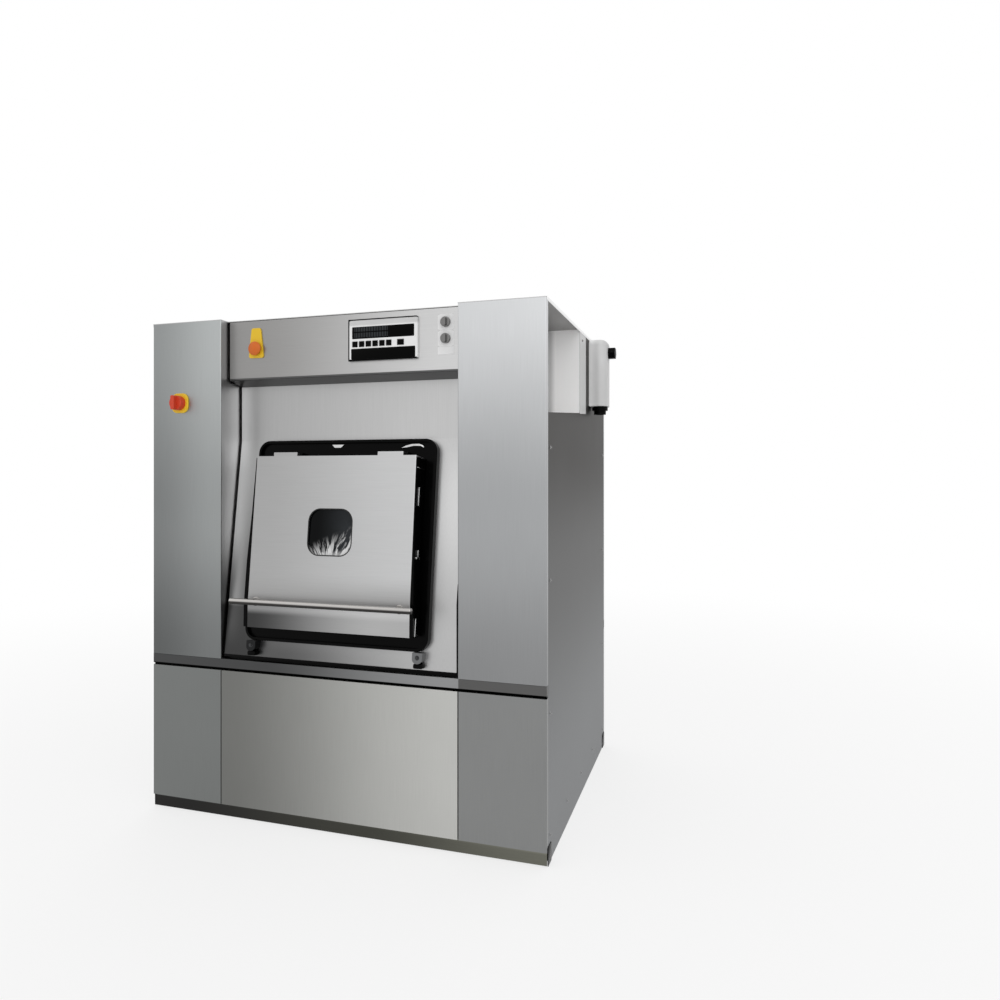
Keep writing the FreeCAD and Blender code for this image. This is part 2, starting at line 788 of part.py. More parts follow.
def drum():
    """Drum shell with its door opening, three lifters, and the ears and pins that carry the flaps."""
    half = drum_length / 2
    inner_radius = drum_radius - drum_wall
    shell = rod_x(-half, half, 0, 0, drum_radius)
    shell = shell.cut(rod_x(drum_end_wall - half, half - drum_end_wall, 0, 0, inner_radius))
    opening = sector(-drum_door_half_angle, drum_door_half_angle, drum_door_width / 2)
    pieces = [shell.cut(opening)]
    for index in range(lifter_count):
        pieces.append(at_angle(lifter(), 180 + (index - (lifter_count - 1) / 2) * lifter_pitch))
    ears = []
    ear_offset = flap_knuckle_length / 2 + 2 * running_gap + hinge_ear / 2
    for hinge_x in flap_hinge_places():
        for ear_x in (hinge_x - ear_offset, hinge_x + ear_offset):
            x0 = ear_x - hinge_ear / 2
            x1 = ear_x + hinge_ear / 2
            ears.append(rod_x(x0, x1, -flap_axis_radius, 0, flap_knuckle_radius))
            ears.append(box(x0, x1, -inner_radius - drum_wall / 2, -flap_axis_radius,
                            0, 2 * flap_knuckle_radius))
        ears.append(rod_x(hinge_x - ear_offset, hinge_x + ear_offset, -flap_axis_radius, 0, flap_pin_radius))
    for ear in ears:
        upper = at_angle(ear, drum_door_half_angle)
        pieces += [upper, below(upper)]
    return on_slope(fuse(pieces))


def drum_flap():
    """Upper curved flap of the drum door, with the two knuckles that turn on the drum's pins."""
    width = drum_door_width / 2 - flap_gap
    inner_radius = drum_radius - drum_wall
    tube = rod_x(-width, width, 0, 0, drum_radius).cut(rod_x(-width, width, 0, 0, inner_radius))
    low = math.degrees(flap_meeting_gap / 2 / drum_radius)
    high = drum_door_half_angle - math.degrees(flap_gap / drum_radius)
    pieces = [tube.common(sector(low, high, width))]
    for hinge_x in flap_hinge_places():
        x0 = hinge_x - flap_knuckle_length / 2
        x1 = hinge_x + flap_knuckle_length / 2
        knuckle = rod_x(x0, x1, -flap_axis_radius, 0, flap_knuckle_radius)
        web = box(x0, x1, -inner_radius - drum_wall / 2, -flap_axis_radius,
                  -2 * flap_knuckle_radius, -flap_gap)
        knuckle = knuckle.fuse(web).cut(rod_x(x0, x1, -flap_axis_radius, 0, flap_pin_radius + running_gap))
        pieces.append(at_angle(knuckle, drum_door_half_angle))
    return fuse(pieces)


# Shafts, bearings and drive

def drum_shaft(outer_end):
    """Stub shaft with a flange on the right end of the drum."""
    face = drum_length / 2
    flange = rod_x(face, face + shaft_flange_thickness, 0, drum_axis_height, shaft_flange_radius)
    return fuse([flange, rod_x(face, outer_end, 0, drum_axis_height, shaft_radius)])


def bearing_housing():
    """Pillow block on the right bearing beam: a round body on a foot, bored for the shaft."""
    x0 = bearing_x - bearing_width / 2
    x1 = bearing_x + bearing_width / 2
    foot_bottom = drum_axis_height - bearing_seat
    body = rod_x(x0, x1, 0, drum_axis_height, bearing_radius)
    pedestal = box(x0, x1, -bearing_radius, bearing_radius, foot_bottom, drum_axis_height)
    foot = box(x0, x1, -bearing_base_width / 2, bearing_base_width / 2, foot_bottom,
               foot_bottom + bearing_base_height)
    block = fuse([body, pedestal, foot])
    return block.cut(rod_x(x0, x1, 0, drum_axis_height, shaft_radius + running_gap))


def drum_pulley():
    """Large pulley with a rim, a pierced web and a hub on the left shaft."""
    x0 = pulley_x - pulley_width / 2
    x1 = pulley_x + pulley_width / 2
    rim = rod_x(x0, x1, 0, drum_axis_height, pulley_radius)
    inner_radius = pulley_radius - pulley_rim
    rim = rim.cut(rod_x(x0, x1, 0, drum_axis_height, inner_radius))
    web = rod_x(pulley_x - pulley_web / 2, pulley_x + pulley_web / 2, 0, drum_axis_height, inner_radius)
    hub = rod_x(x0, x1, 0, drum_axis_height, pulley_hub_radius)
    window_ring = (pulley_hub_radius + inner_radius) / 2
    wheel = fuse([rim, web, hub])
    for index in range(pulley_window_count):
        angle = 2 * math.pi * index / pulley_window_count
        wheel = wheel.cut(rod_x(x0, x1, window_ring * math.cos(angle),
                                drum_axis_height + window_ring * math.sin(angle), pulley_window_radius))
    return wheel.cut(rod_x(x0, x1, 0, drum_axis_height, shaft_radius + running_gap))


def motor_pulley():
    """Small pulley with its motor shaft."""
    x0 = pulley_x - pulley_width / 2
    x1 = pulley_x + pulley_width / 2
    wheel = rod_x(x0, x1, motor_y, motor_axis_height, motor_pulley_radius)
    shaft = rod_x(x0, motor_face_x + motor_shaft_depth, motor_y, motor_axis_height, motor_shaft_radius)
    return fuse([wheel, shaft])


def motor():
    """Foot-mounted motor with cooling fins, bored for its shaft."""
    x0 = motor_face_x
    x1 = motor_face_x + motor_length
    fin_start = x0 + motor_fin_inset
    fin_end = x1 - motor_fin_inset
    pieces = [rod_x(x0, x1, motor_y, motor_axis_height, motor_radius)]
    for index in range(motor_fin_count):
        fin = box(fin_start, fin_end, motor_y, motor_y + motor_radius + motor_fin_height,
                  motor_axis_height - sheet, motor_axis_height + sheet)
        fin.rotate(Vector(0, motor_y, motor_axis_height), Vector(1, 0, 0), 360.0 * index / motor_fin_count)
        pieces.append(fin)
    pieces.append(box(fin_start, fin_end, motor_y - motor_radius, motor_y + motor_radius,
                      base_top, base_top + motor_foot_height))
    pieces.append(box(fin_start, fin_end, motor_y - motor_radius / 2, motor_y + motor_radius / 2,
                      base_top, motor_axis_height))
    body = fuse(pieces)
    bore_end = x0 + motor_shaft_depth + motor_face_gap
    return body.cut(rod_x(x0, bore_end, motor_y, motor_axis_height, motor_shaft_radius + running_gap))


def belt_outline(drum_side_radius, motor_side_radius):
    """Face of a loop round both pulleys: two straight runs tangent to two arcs."""
    run_y = motor_y
    run_z = motor_axis_height - drum_axis_height
    heading = math.atan2(run_z, run_y)
    spread = math.acos((drum_side_radius - motor_side_radius) / math.hypot(run_y, run_z))

    def on_pulley(centre_y, centre_z, radius, angle):
        return Vector(pulley_x, centre_y + radius * math.cos(angle), centre_z + radius * math.sin(angle))

    def on_drum(angle):
        return on_pulley(0.0, drum_axis_height, drum_side_radius, angle)

    def on_motor(angle):
        return on_pulley(motor_y, motor_axis_height, motor_side_radius, angle)

    upper = heading + spread
    lower = heading - spread
    edges = [Part.Arc(on_drum(upper), on_drum(heading + math.pi), on_drum(lower)).toShape(),
             Part.LineSegment(on_drum(lower), on_motor(lower)).toShape(),
             Part.Arc(on_motor(lower), on_motor(heading), on_motor(upper)).toShape(),
             Part.LineSegment(on_motor(upper), on_drum(upper)).toShape()]
    return Part.Face(Part.Wire(edges))


def drive_belt():
    """Belt round both pulleys."""
    inside = belt_outline(pulley_radius + running_gap, motor_pulley_radius + running_gap)
    outside = belt_outline(pulley_radius + running_gap + belt_thickness,
                           motor_pulley_radius + running_gap + belt_thickness)
    width = pulley_width - 2 * sheet
    band = outside.extrude(Vector(width, 0, 0)).cut(inside.extrude(Vector(width, 0, 0)))
    band.translate(Vector(-width / 2, 0, 0))
    return band


# Controls

def key_places(count):
    """X and size of each key in a row: small square keys from the left, the last one larger at the right."""
    places = [(key_row_start + index * key_pitch, key_size) for index in range(count - 1)]
    return places + [(big_key_x, big_key_size)]


def control_panel(count, face_y, x, z):
    """Panel frame on a face: display recess, key pockets, a set-back lower band, and its box behind."""
    front = face_y - panel_depth
    plate = plate_y(panel_width, panel_height, panel_corner, front, face_y, x, z)
    rim = [e for e in plate.Edges if near(e.CenterOfMass.y, front)]
    plate = plate.makeChamfer(sheet, rim)
    plate = plate.cut(plate_y(display_width, display_height, panel_corner / 2, front, front + display_depth,
                              x, z + display_rise))
    plate = plate.cut(plate_y(band_width, band_height, panel_corner / 2, front, front + display_depth,
                              x, z - band_drop))
    for key_x, size in key_places(count):
        half_pocket = size / 2 + key_gap
        half_height = key_size / 2 + key_gap
        plate = plate.cut(box(x + key_x - half_pocket, x + key_x + half_pocket, front,
                              front + key_depth + key_travel - key_proud + key_gap,
                              z - key_row_drop - half_height, z - key_row_drop + half_height))
    housing = box(x - panel_width / 2 + panel_box_margin, x + panel_width / 2 - panel_box_margin,
                  face_y, face_y + panel_box_depth,
                  z - panel_height / 2 + panel_box_margin, z + panel_height / 2 - panel_box_margin)
    return fuse([plate, housing])


def panel_window(face_y, x, z):
    """Hole that a control panel's box needs in the sheet it is mounted on."""
    margin = panel_box_margin - running_gap
    return box(x - panel_width / 2 + margin, x + panel_width / 2 - margin, face_y - sheet, face_y + 2 * sheet,
               z - panel_height / 2 + margin, z + panel_height / 2 - margin)


def panel_keys(count, face_y, x, z):
    """Square keys with softened caps, each in its own pocket."""
    front = face_y - panel_depth - key_proud
    keys = []
    for key_x, size in key_places(count):
        cap = box(x + key_x - size / 2, x + key_x + size / 2, front, front + key_depth,
                  z - key_row_drop - key_size / 2, z - key_row_drop + key_size / 2)
        rim = [e for e in cap.Edges if near(e.CenterOfMass.y, front)]
        keys.append(cap.makeFillet(key_gap * 2, rim))
    return keys


def isolator_plate():
    """Square plate of the main isolator on the left column, bored for the knob's stem."""
    face = front_y - isolator_plate_depth
    plate = plate_y(isolator_plate_size, isolator_plate_size, isolator_plate_corner, face, front_y,
                    isolator_x, isolator_z)
    rim = [e for e in plate.Edges if near(e.CenterOfMass.y, face)]
    plate = plate.makeChamfer(sheet, rim)
    return plate.cut(isolator_bore())


def isolator_bore():
    """Clearance hole for the isolator's stem through plate and column."""
    return rod_y(front_y - cabinet_depth, front_y + column_inner_return, isolator_x, isolator_z,
                 isolator_stem_radius + running_gap)


def isolator_knob():
    """Round knob with a raised grip and the stem that it turns."""
    base_y = front_y - isolator_plate_depth - running_gap
    disc_y = base_y - isolator_knob_depth + isolator_grip_depth
    disc = rod_y(disc_y, base_y, isolator_x, isolator_z, isolator_knob_radius)
    disc = disc.makeFillet(sheet, [e for e in disc.Edges if near(e.CenterOfMass.y, disc_y)])
    grip = plate_y(isolator_grip_width, 2 * isolator_knob_radius - sheet, isolator_grip_width / 3,
                   disc_y - isolator_grip_depth, disc_y + sheet, isolator_x, isolator_z)
    stem = rod_y(disc_y, front_y + lintel_return, isolator_x, isolator_z, isolator_stem_radius)
    return fuse([disc, grip, stem])


def stop_plate():
    """Tapered yellow plate of the emergency stop with a collar round the plunger."""
    front = lintel_y - stop_plate_depth
    bottom = stop_z - stop_plate_height / 2
    top = stop_z + stop_plate_height / 2
    outline = [(-stop_plate_width, bottom), (stop_plate_width, bottom),
               (stop_plate_top_width, top), (-stop_plate_top_width, top)]
    corners = [Vector(stop_x + width / 2, front, z) for width, z in outline]
    plate = Part.Face(Part.makePolygon(corners + corners[:1])).extrude(Vector(0, stop_plate_depth, 0))
    plate = plate.makeFillet(stop_plate_corner, straight_edges(plate, Vector(0, 1, 0)))
    collar = rod_y(front - stop_collar_depth, lintel_y, stop_x, stop_z - stop_drop,
                   stop_stem_radius + stop_collar_wall)
    return fuse([plate, collar]).cut(stop_bore())


def stop_bore():
    """Clearance hole for the emergency plunger."""
    return rod_y(lintel_y - lintel_return, lintel_y + lintel_return, stop_x, stop_z - stop_drop,
                 stop_stem_radius + running_gap)


def stop_button():
    """Mushroom head with a domed face on its plunger."""
    z = stop_z - stop_drop
    back = lintel_y - stop_plate_depth - stop_collar_depth - stop_travel - key_gap
    face = back - stop_head_depth
    head = rod_y(face, back, stop_x, z, stop_head_radius)
    head = head.common(Part.makeSphere(stop_dome_radius, Vector(stop_x, face + stop_dome_radius, z)))
    head = head.makeFillet(sheet, [e for e in head.Edges if near(e.CenterOfMass.y, back)])
    stem = rod_y(face + stop_head_depth / 2, lintel_y + lintel_return / 2, stop_x, z, stop_stem_radius)
    return fuse([head, stem])


def switch_heights():
    """Z of the upper and the lower key switch."""
    return (switch_z + switch_spacing / 2, switch_z - switch_spacing / 2)


def switch_bore(z):
    """Clearance hole for a key switch's stem in the lintel."""
    return rod_y(lintel_y - lintel_return, lintel_y + lintel_return, switch_x, z,
                 switch_stem_radius + running_gap)


def key_switch(z):
    """Round switch with a flat key grip, on the stem that it turns."""
    base_y = lintel_y - running_gap
    disc_y = base_y - switch_depth
    disc = rod_y(disc_y, base_y, switch_x, z, switch_radius)
    disc = disc.makeFillet(sheet, [e for e in disc.Edges if near(e.CenterOfMass.y, disc_y)])
    grip = plate_y(switch_grip_width, switch_grip_length, switch_grip_width / 3, disc_y - switch_grip_depth,
                   disc_y + sheet, switch_x, z)
    stem = rod_y(disc_y, lintel_y + lintel_return / 2, switch_x, z, switch_stem_radius)
    return fuse([disc, grip, stem])


# Services at the two ends

def dispenser_housing():
    """Rounded housing of the dispenser on the right side panel, behind the niche."""
    x1 = half_width + dispenser_proud
    body = box(half_width, x1, dispenser_y, dispenser_y + dispenser_length, dispenser_bottom,
               dispenser_bottom + dispenser_height)
    corners = straight_edges(body, Vector(0, 0, 1), lambda p: near(p.x, x1))
    body = body.makeFillet(dispenser_corner, corners)
    top = dispenser_bottom + dispenser_height
    lid = [e for e in body.Edges if near(e.CenterOfMass.z, top) and e.CenterOfMass.x > half_width + sheet]
    body = body.makeFillet(dispenser_lid_radius, lid)
    return body.cut(dispenser_bore())


def dispenser_bore():
    """Clearance hole for the dispenser knob's stem."""
    return rod_x(half_width + sheet, half_width + 2 * dispenser_proud, dispenser_knob_y, dispenser_knob_z,
                 isolator_stem_radius + running_gap)


def dispenser_outlet():
    """Collar and spout under the dispenser housing."""
    x = half_width + dispenser_proud / 2
    y = dispenser_y + dispenser_length / 2
    collar = rod_z(dispenser_bottom - outlet_height / 2, dispenser_bottom, x, y, outlet_radius)
    spout = rod_z(dispenser_bottom - outlet_height, dispenser_bottom, x, y, spout_radius)
    bore = rod_z(dispenser_bottom - outlet_height, dispenser_bottom - sheet, x, y, spout_radius - spout_wall)
    return fuse([collar, spout]).cut(bore)


def hexagon_x(x0, x1, y, z, radius):
    """Six-sided bar along X, sized across its corners."""
    points = []
    for index in range(6):
        angle = math.pi / 3 * index
        points.append((y + radius * math.cos(angle), z + radius * math.sin(angle)))
    return prism_x(points, x0, x1)


def dispenser_knob():
    """Six-sided knob on the dispenser's outer face, with its stem."""
    base_x = half_width + dispenser_proud + running_gap
    end_x = base_x + dispenser_knob_depth
    grip = hexagon_x(base_x, end_x, dispenser_knob_y, dispenser_knob_z, dispenser_knob_radius)
    grip = grip.makeFillet(sheet, [e for e in grip.Edges if near(e.CenterOfMass.x, end_x)])
    stem = rod_x(half_width + 2 * sheet, end_x - sheet, dispenser_knob_y, dispenser_knob_z,
                 isolator_stem_radius)
    return fuse([grip, stem])


def water_inlets():
    """Plate on the left side with a row of pipe nipples, each with a six-sided nut."""
    face = -half_width
    inner_end = face + inlet_plate_margin
    half_row = inlet_spacing * (inlet_count - 1) / 2 + inlet_plate_margin
    plate = box(face - inlet_plate_thickness, face, inlet_y - half_row, inlet_y + half_row,
                inlet_z - inlet_plate_margin, inlet_z + inlet_plate_margin)
    plate = plate.makeFillet(panel_corner, straight_edges(plate, Vector(1, 0, 0)))
    pieces = [plate]
    for y in inlet_places():
        pieces.append(rod_x(face - service_reach, inner_end, y, inlet_z, inlet_radius))
        pieces.append(hexagon_x(face - inlet_plate_thickness - valve_nut_length, face - inlet_plate_thickness,
                                y, inlet_z, valve_nut_radius))
    body = fuse(pieces)
    for y in inlet_places():
        body = body.cut(rod_x(face - service_reach, inner_end, y, inlet_z, inlet_radius - drain_wall))
    return body


def drain_valve():
    """Drain pipe from the tub's lowest line through a valve body and out at the left side."""
    end_x = -half_width - service_reach / 2
    elbow_top = drain_height + drain_elbow_radius
    disc = Part.Face(Part.Wire(Part.makeCircle(drain_radius, Vector(0, drain_y, elbow_top))))
    elbow = disc.revolve(Vector(-drain_elbow_radius, drain_y, elbow_top), Vector(0, 1, 0), 90)
    pipe = rod_z(elbow_top, drum_axis_height - tub_outer_radius / 2, 0, drain_y, drain_radius)
    run = rod_x(end_x, -drain_elbow_radius, drain_y, drain_height, drain_radius)
    valve = rod_z(elbow_top + bend_radius, elbow_top + bend_radius + valve_height, 0, drain_y, valve_radius)
    collar = rod_x(-half_width - bend_radius, -half_width, drain_y, drain_height,
                   drain_radius + 2 * bend_radius)
    fitting = fuse([pipe, run, elbow, valve, collar])
    fitting = fitting.cut(rod_x(-half_width, half_width, 0, drum_axis_height, tub_outer_radius + running_gap))
    return fitting.cut(rod_x(end_x, -half_width, drain_y, drain_height, drain_radius - drain_wall))


# Nodes

def save_cabinet():
    """Frame, columns, panels and covers."""
    right_column = column()
    left_column = mirrored(right_column)
    front_lintel = lintel().cut(panel_window(lintel_y, panel_x, panel_z)).cut(stop_bore())
    for z in switch_heights():
        front_lintel = front_lintel.cut(switch_bore(z))
    save("base_frame", base_frame())
    save("side_portals", mirrored(side_portal()), side_portal())
    save("front_left_column", left_column.cut(isolator_bore()))
    save("front_right_column", right_column)
    save("rear_left_column", turned(right_column))
    save("rear_right_column", turned(left_column.cut(panel_window(front_y, rear_panel_x, rear_panel_z))))
    save("front_lintel", front_lintel)
    save("rear_lintel", turned(lintel()))
    save("front_apron", apron())
    save("rear_apron", turned(apron()))
    save("front_lower_panels", *lower_panels())
    save("rear_lower_panels", *[turned(tray_panel) for tray_panel in lower_panels()])
    save("trim_rails", trim_rail(), turned(trim_rail()))
    save("kick_plates", kick_plate(), turned(kick_plate()))
    save("left_side_panel", left_side_panel())
    save("right_side_panel", right_side_panel())
    save("top_cover", top_cover())


def save_doors():
    """Both door sets and their frames."""
    for side, place in (("front", lambda shape: shape), ("rear", turned)):
        save(side + "_door_frame", place(door_frame()))
        save(side + "_door", place(door_leaf()))
        save(side + "_door_window", place(door_window()))
        save(side + "_door_handle", place(door_handle()))
    blocks = frame_clamps()
    save("frame_clamps", *blocks, *[turned(block) for block in blocks])


def save_drum_group():
    """Tub, drum, flaps, bearings and drive."""
    save("tub", tub())
    save("drum", drum())
    save("drum_upper_flap", on_slope(drum_flap()))
    save("drum_lower_flap", on_slope(below(drum_flap())))
    right_end = bearing_x + bearing_width / 2 + shaft_flange_thickness
    left_end = -pulley_x + pulley_width / 2
    save("drum_shafts", mirrored(drum_shaft(left_end)), drum_shaft(right_end))
    save("bearing_housings", mirrored(bearing_housing()), bearing_housing())
    save("drum_pulley", drum_pulley())
    save("drive_belt", drive_belt())
    save("motor", motor())
    save("motor_pulley", motor_pulley())


def save_controls():
    """Control panels with their keys, switches and the main isolator."""
    save("front_control_panel", control_panel(key_count, lintel_y, panel_x, panel_z))
    for number, key in enumerate(panel_keys(key_count, lintel_y, panel_x, panel_z), start=1):
        save("front_key_%d" % number, key)
    save("rear_control_panel", turned(control_panel(rear_key_count, front_y, rear_panel_x, rear_panel_z)))
    for number, key in enumerate(panel_keys(rear_key_count, front_y, rear_panel_x, rear_panel_z), start=1):
        save("rear_key_%d" % number, turned(key))
    save("isolator_plate", isolator_plate())
    save("isolator_knob", isolator_knob())
    save("emergency_plate", stop_plate())
    save("emergency_button", stop_button())
    for name, z in zip(("upper_key_switch", "lower_key_switch"), switch_heights()):
        save(name, key_switch(z))


def save_services():
    """Dispenser on the right, water and drain on the left."""
    save("dispenser_housing", dispenser_housing())
    save("dispenser_outlet", dispenser_outlet())
    save("dispenser_knob", dispenser_knob())
    save("water_inlets", water_inlets())
    save("drain_valve", drain_valve())


save_cabinet()
save_doors()
save_drum_group()
save_controls()
save_services()
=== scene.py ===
# %% [markdown]
# # A side-loading industrial washing machine, dressed in cells
# The solids of this machine come from its construction model: columns, sloped aprons, doors, drum and
# drive. This lesson gives them their finishes and adds the small work that a solid leaves out, such as
# gaskets, screws, perforations and the display. Everything is in metres and in the solids' own frame,
# so a piece goes where the solid's own box says.

# %% Load the frame
import math

import bmesh
import bpy
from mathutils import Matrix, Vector


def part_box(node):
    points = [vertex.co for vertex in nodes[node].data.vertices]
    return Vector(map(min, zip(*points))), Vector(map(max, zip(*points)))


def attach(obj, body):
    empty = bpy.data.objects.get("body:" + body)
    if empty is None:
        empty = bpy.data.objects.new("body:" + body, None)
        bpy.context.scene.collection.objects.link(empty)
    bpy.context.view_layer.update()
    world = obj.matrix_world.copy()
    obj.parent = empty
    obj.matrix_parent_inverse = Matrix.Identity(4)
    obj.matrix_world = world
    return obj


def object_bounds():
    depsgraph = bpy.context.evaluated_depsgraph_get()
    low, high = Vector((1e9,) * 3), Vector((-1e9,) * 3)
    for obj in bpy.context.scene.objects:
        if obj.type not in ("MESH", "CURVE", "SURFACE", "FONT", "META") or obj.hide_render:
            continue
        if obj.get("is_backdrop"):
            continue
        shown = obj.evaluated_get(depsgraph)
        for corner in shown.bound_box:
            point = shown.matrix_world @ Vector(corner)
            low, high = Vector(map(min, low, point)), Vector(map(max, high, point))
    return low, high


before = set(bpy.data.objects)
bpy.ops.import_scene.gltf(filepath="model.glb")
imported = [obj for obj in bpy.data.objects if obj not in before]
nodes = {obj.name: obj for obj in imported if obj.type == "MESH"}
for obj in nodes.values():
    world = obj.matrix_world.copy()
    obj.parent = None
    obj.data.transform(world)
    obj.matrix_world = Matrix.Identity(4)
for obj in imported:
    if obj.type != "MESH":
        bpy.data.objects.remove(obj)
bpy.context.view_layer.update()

scene = bpy.context.scene

# %% [markdown]
# ## Wires and finishes
# A finish is a material made of nodes. Node trees get long when each sum needs its own lines, so a small
# class wraps an output socket and lets Python's own signs add the Math nodes. One method makes any other
# node: its settings first, then the values or links of its sockets.


# %% A socket that can be added and multiplied
class Wire:
    """An output socket of a finish; arithmetic on it adds Math nodes."""

    def __init__(self, finish, socket):
        self.finish = finish
        self.socket = socket

    def math(self, operation, first, second):
        return self.finish.node("ShaderNodeMath", {"operation": operation}, {0: first, 1: second})

    def __add__(self, other):
        return self.math("ADD", self, other)

    def __sub__(self, other):
        return self.math("SUBTRACT", self, other)

    def __rsub__(self, other):
        return self.math("SUBTRACT", other, self)

    def __mul__(self, other):
        return self.math("MULTIPLY", self, other)

    def __truediv__(self, other):
        return self.math("DIVIDE", self, other)

    def __rtruediv__(self, other):
        return self.math("DIVIDE", other, self)

    def __gt__(self, other):
        return self.math("GREATER_THAN", self, other)

    def __lt__(self, other):
        return self.math("LESS_THAN", self, other)

    __radd__ = __add__
    __rmul__ = __mul__


print("wires add, subtract, multiply, divide and compare")


# %% A finish and its one way to add a node
class Finish:
    """A material with one Principled shader."""

    def __init__(self, name):
        self.material = bpy.data.materials.new(name)
        self.material.use_nodes = True
        self.tree = self.material.node_tree
        self.shader = self.tree.nodes["Principled BSDF"]
        self.place = self.node("ShaderNodeTexCoord", output="Object")

    def plug(self, socket, value):
        """Links a wire to a socket, or sets a plain value."""
        if isinstance(value, Wire):
            self.tree.links.new(value.socket, socket)
        else:
            socket.default_value = value

    def node(self, kind, settings=None, sockets=None, output=0):
        """Adds a node: settings first, then values or links; returns one output as a wire."""
        made = self.tree.nodes.new(kind)
        for key, value in (settings or {}).items():
            if key == "stops":
                for _ in value[2:]:
                    made.color_ramp.elements.new(0.5)
                for element, (position, colour) in zip(made.color_ramp.elements, value):
                    element.position = position
                    element.color = colour
            else:
                setattr(made, key, value)
        for key, value in (sockets or {}).items():
            self.plug(made.inputs[key], value)
        return Wire(self, made.outputs[output])

    def along(self, axis):
        """The place on the piece along one axis, in metres."""
        return self.node("ShaderNodeSeparateXYZ", None, {0: self.place}, "XYZ".index(axis.upper()))

    def fade(self, value, start, end):
        """0 at the start, 1 at the end, soft between; the end may be the lower number."""
        return self.node("ShaderNodeMapRange", {"interpolation_type": "SMOOTHSTEP"},
                         {0: value, 1: start, 2: end})

    def mixed(self, share, first, second):
        """The first colour, or the second where the share is 1."""
        return self.node("ShaderNodeMix", {"data_type": "RGBA"}, {0: share, 6: first, 7: second}, 2)

    def blend(self, axis, start, end, first, second):
        """From one colour to another along an axis."""
        return self.mixed(self.fade(self.along(axis), start, end), first, second)

    def scaled(self, colour, amount):
        """A colour made lighter or darker by a number that may change over the surface."""
        colour = colour if isinstance(colour, Wire) else colour[:3]
        return self.node("ShaderNodeVectorMath", {"operation": "SCALE"}, {0: colour, 3: amount})

    def noise(self, size, detail=2.0, stretch=(1.0, 1.0, 1.0)):
        """Noise with features of a size in metres, long where the stretch is small."""
        place = self.node("ShaderNodeMapping", None, {0: self.place, 3: stretch})
        return self.node("ShaderNodeTexNoise", None, {"Vector": place, "Scale": 1.0 / size, "Detail": detail})

    def bump(self, height, distance, strength=0.3):
        """A surface that is raised where the height is large, for the shader's Normal."""
        return self.node("ShaderNodeBump", None,
                         {"Strength": strength, "Distance": distance, "Height": height})

    def shade(self, values):
        """Sets the shader's sockets and hands over the material."""
        for name, value in values.items():
            self.plug(self.shader.inputs[name], value)
        return self.material


print("wires and finishes are ready")

# %% [markdown]
# ## Brushed stainless sheet
# Nearly all of the cabinet is stainless sheet with a fine brushed grain. Seen from a few metres the grain
# melts into a soft sheen, and the grain turns with the fold. A picture of brushed steel would repeat and
# blur, so a Noise texture stretched along the grain draws the lines and a large one draws the soft clouds
# of handling. Slow fades along an axis paint each sheet's reflections and shade into its colour, so each
# sheet's own tone is painted reflection and painted shade.


# %% Greys by display level
def grey(level, warmth=0.0, green=0.0):
    """A linear colour from a display level of 0 to 255; warmth moves it from blue to yellow."""
    value = (level / 255.0) ** 2.2
    return (value * (1 + warmth), value * (1 + green), value * (1 - warmth), 1.0)


print("mid grey is", round(grey(128)[0], 3), "in linear light")

# %% Stainless sheet
GRAIN = {"x": (0.012, 1.0, 1.0), "y": (1.0, 0.012, 1.0), "z": (1.0, 1.0, 0.012)}
GRAIN_WIDTH = 0.0016
GRAIN_DEPTH = 0.00008
GRAIN_STRENGTH = 0.25


def brushed_steel(name, tone, painted_light_fades=(), grain="z", roughness=0.36):
    """Stainless sheet; tone is a colour or a function that may paint light; each painted fade is (axis, start,
    end, tone at the end) and paints reflection or shade into the colour.
    """
    steel = Finish(name)
    lines = steel.noise(GRAIN_WIDTH, 3.0, GRAIN[grain])
    clouds = steel.noise(0.42, 2.0)
    colour = tone(steel) if callable(tone) else tone
    for axis, start, end, other in painted_light_fades:
        colour = steel.blend(axis, start, end, colour, other)
    shade = 1.0 + (clouds - 0.5) * 0.14 + (lines - 0.5) * 0.16
    return steel.shade({
        "Base Color": steel.scaled(colour, shade),
        "Metallic": 1.0,
        "Roughness": roughness + (clouds - 0.5) * 0.16 + (lines - 0.5) * 0.10,
        "Normal": steel.bump(lines, GRAIN_DEPTH, GRAIN_STRENGTH),
    })


def wear(names, material):
    """Puts a finish on the named solids."""
    for name in names.split():
        slots = nodes[name].data.materials
        slots.clear()
        slots.append(material)
    print(material.name, "on", names)


# %% [markdown]
# ## Front sheets
# Two columns, a lintel and the sloped apron make the front above the rail. Each is folded from its own
# sheet and mirrors another part of the room, so one finish for all would look like a single casting. These
# reflections and the shade are painted into each sheet's colour: the tones could be painted by hand, but a
# fade along an axis says the same in one line, and it stays on the sheet from every side. A flange that
# turns in to a slot sees the bright apron, so a painted reflection makes it lighter than the face that it
# belongs to.

# %% Columns and lintel
FLANGE_EDGE = -0.486
FLANGE_TURN = (-0.598, -0.592)
LINTEL_FOOT_SHADE = (1.6783, 1.6776)


def left_column_tone(column):
    """Painted shade makes it darker to the floor and to the outer edge; a painted reflection makes the flange
    that turns in to the slot bright.
    """
    tone = column.blend("z", 0.60, 1.15, grey(110, -0.02, 0.02), grey(140, -0.02, 0.02))
    tone = column.blend("z", 1.15, 1.88, tone, grey(166, -0.02, 0.02))
    front = column.scaled(tone, 0.80 + column.fade(column.along("x"), -0.80, -0.48) * 0.42)
    # Painted reflection of the bright apron on the flange that turns in to the slot, painted darker low down.
    flange = column.blend("z", 0.86, 1.10, grey(112), grey(206))
    flange = column.blend("z", 1.36, 1.50, flange, grey(182))
    turned = (column.along("x") > FLANGE_EDGE) * column.fade(column.along("y"), *FLANGE_TURN)
    return column.mixed(turned, front, flange)


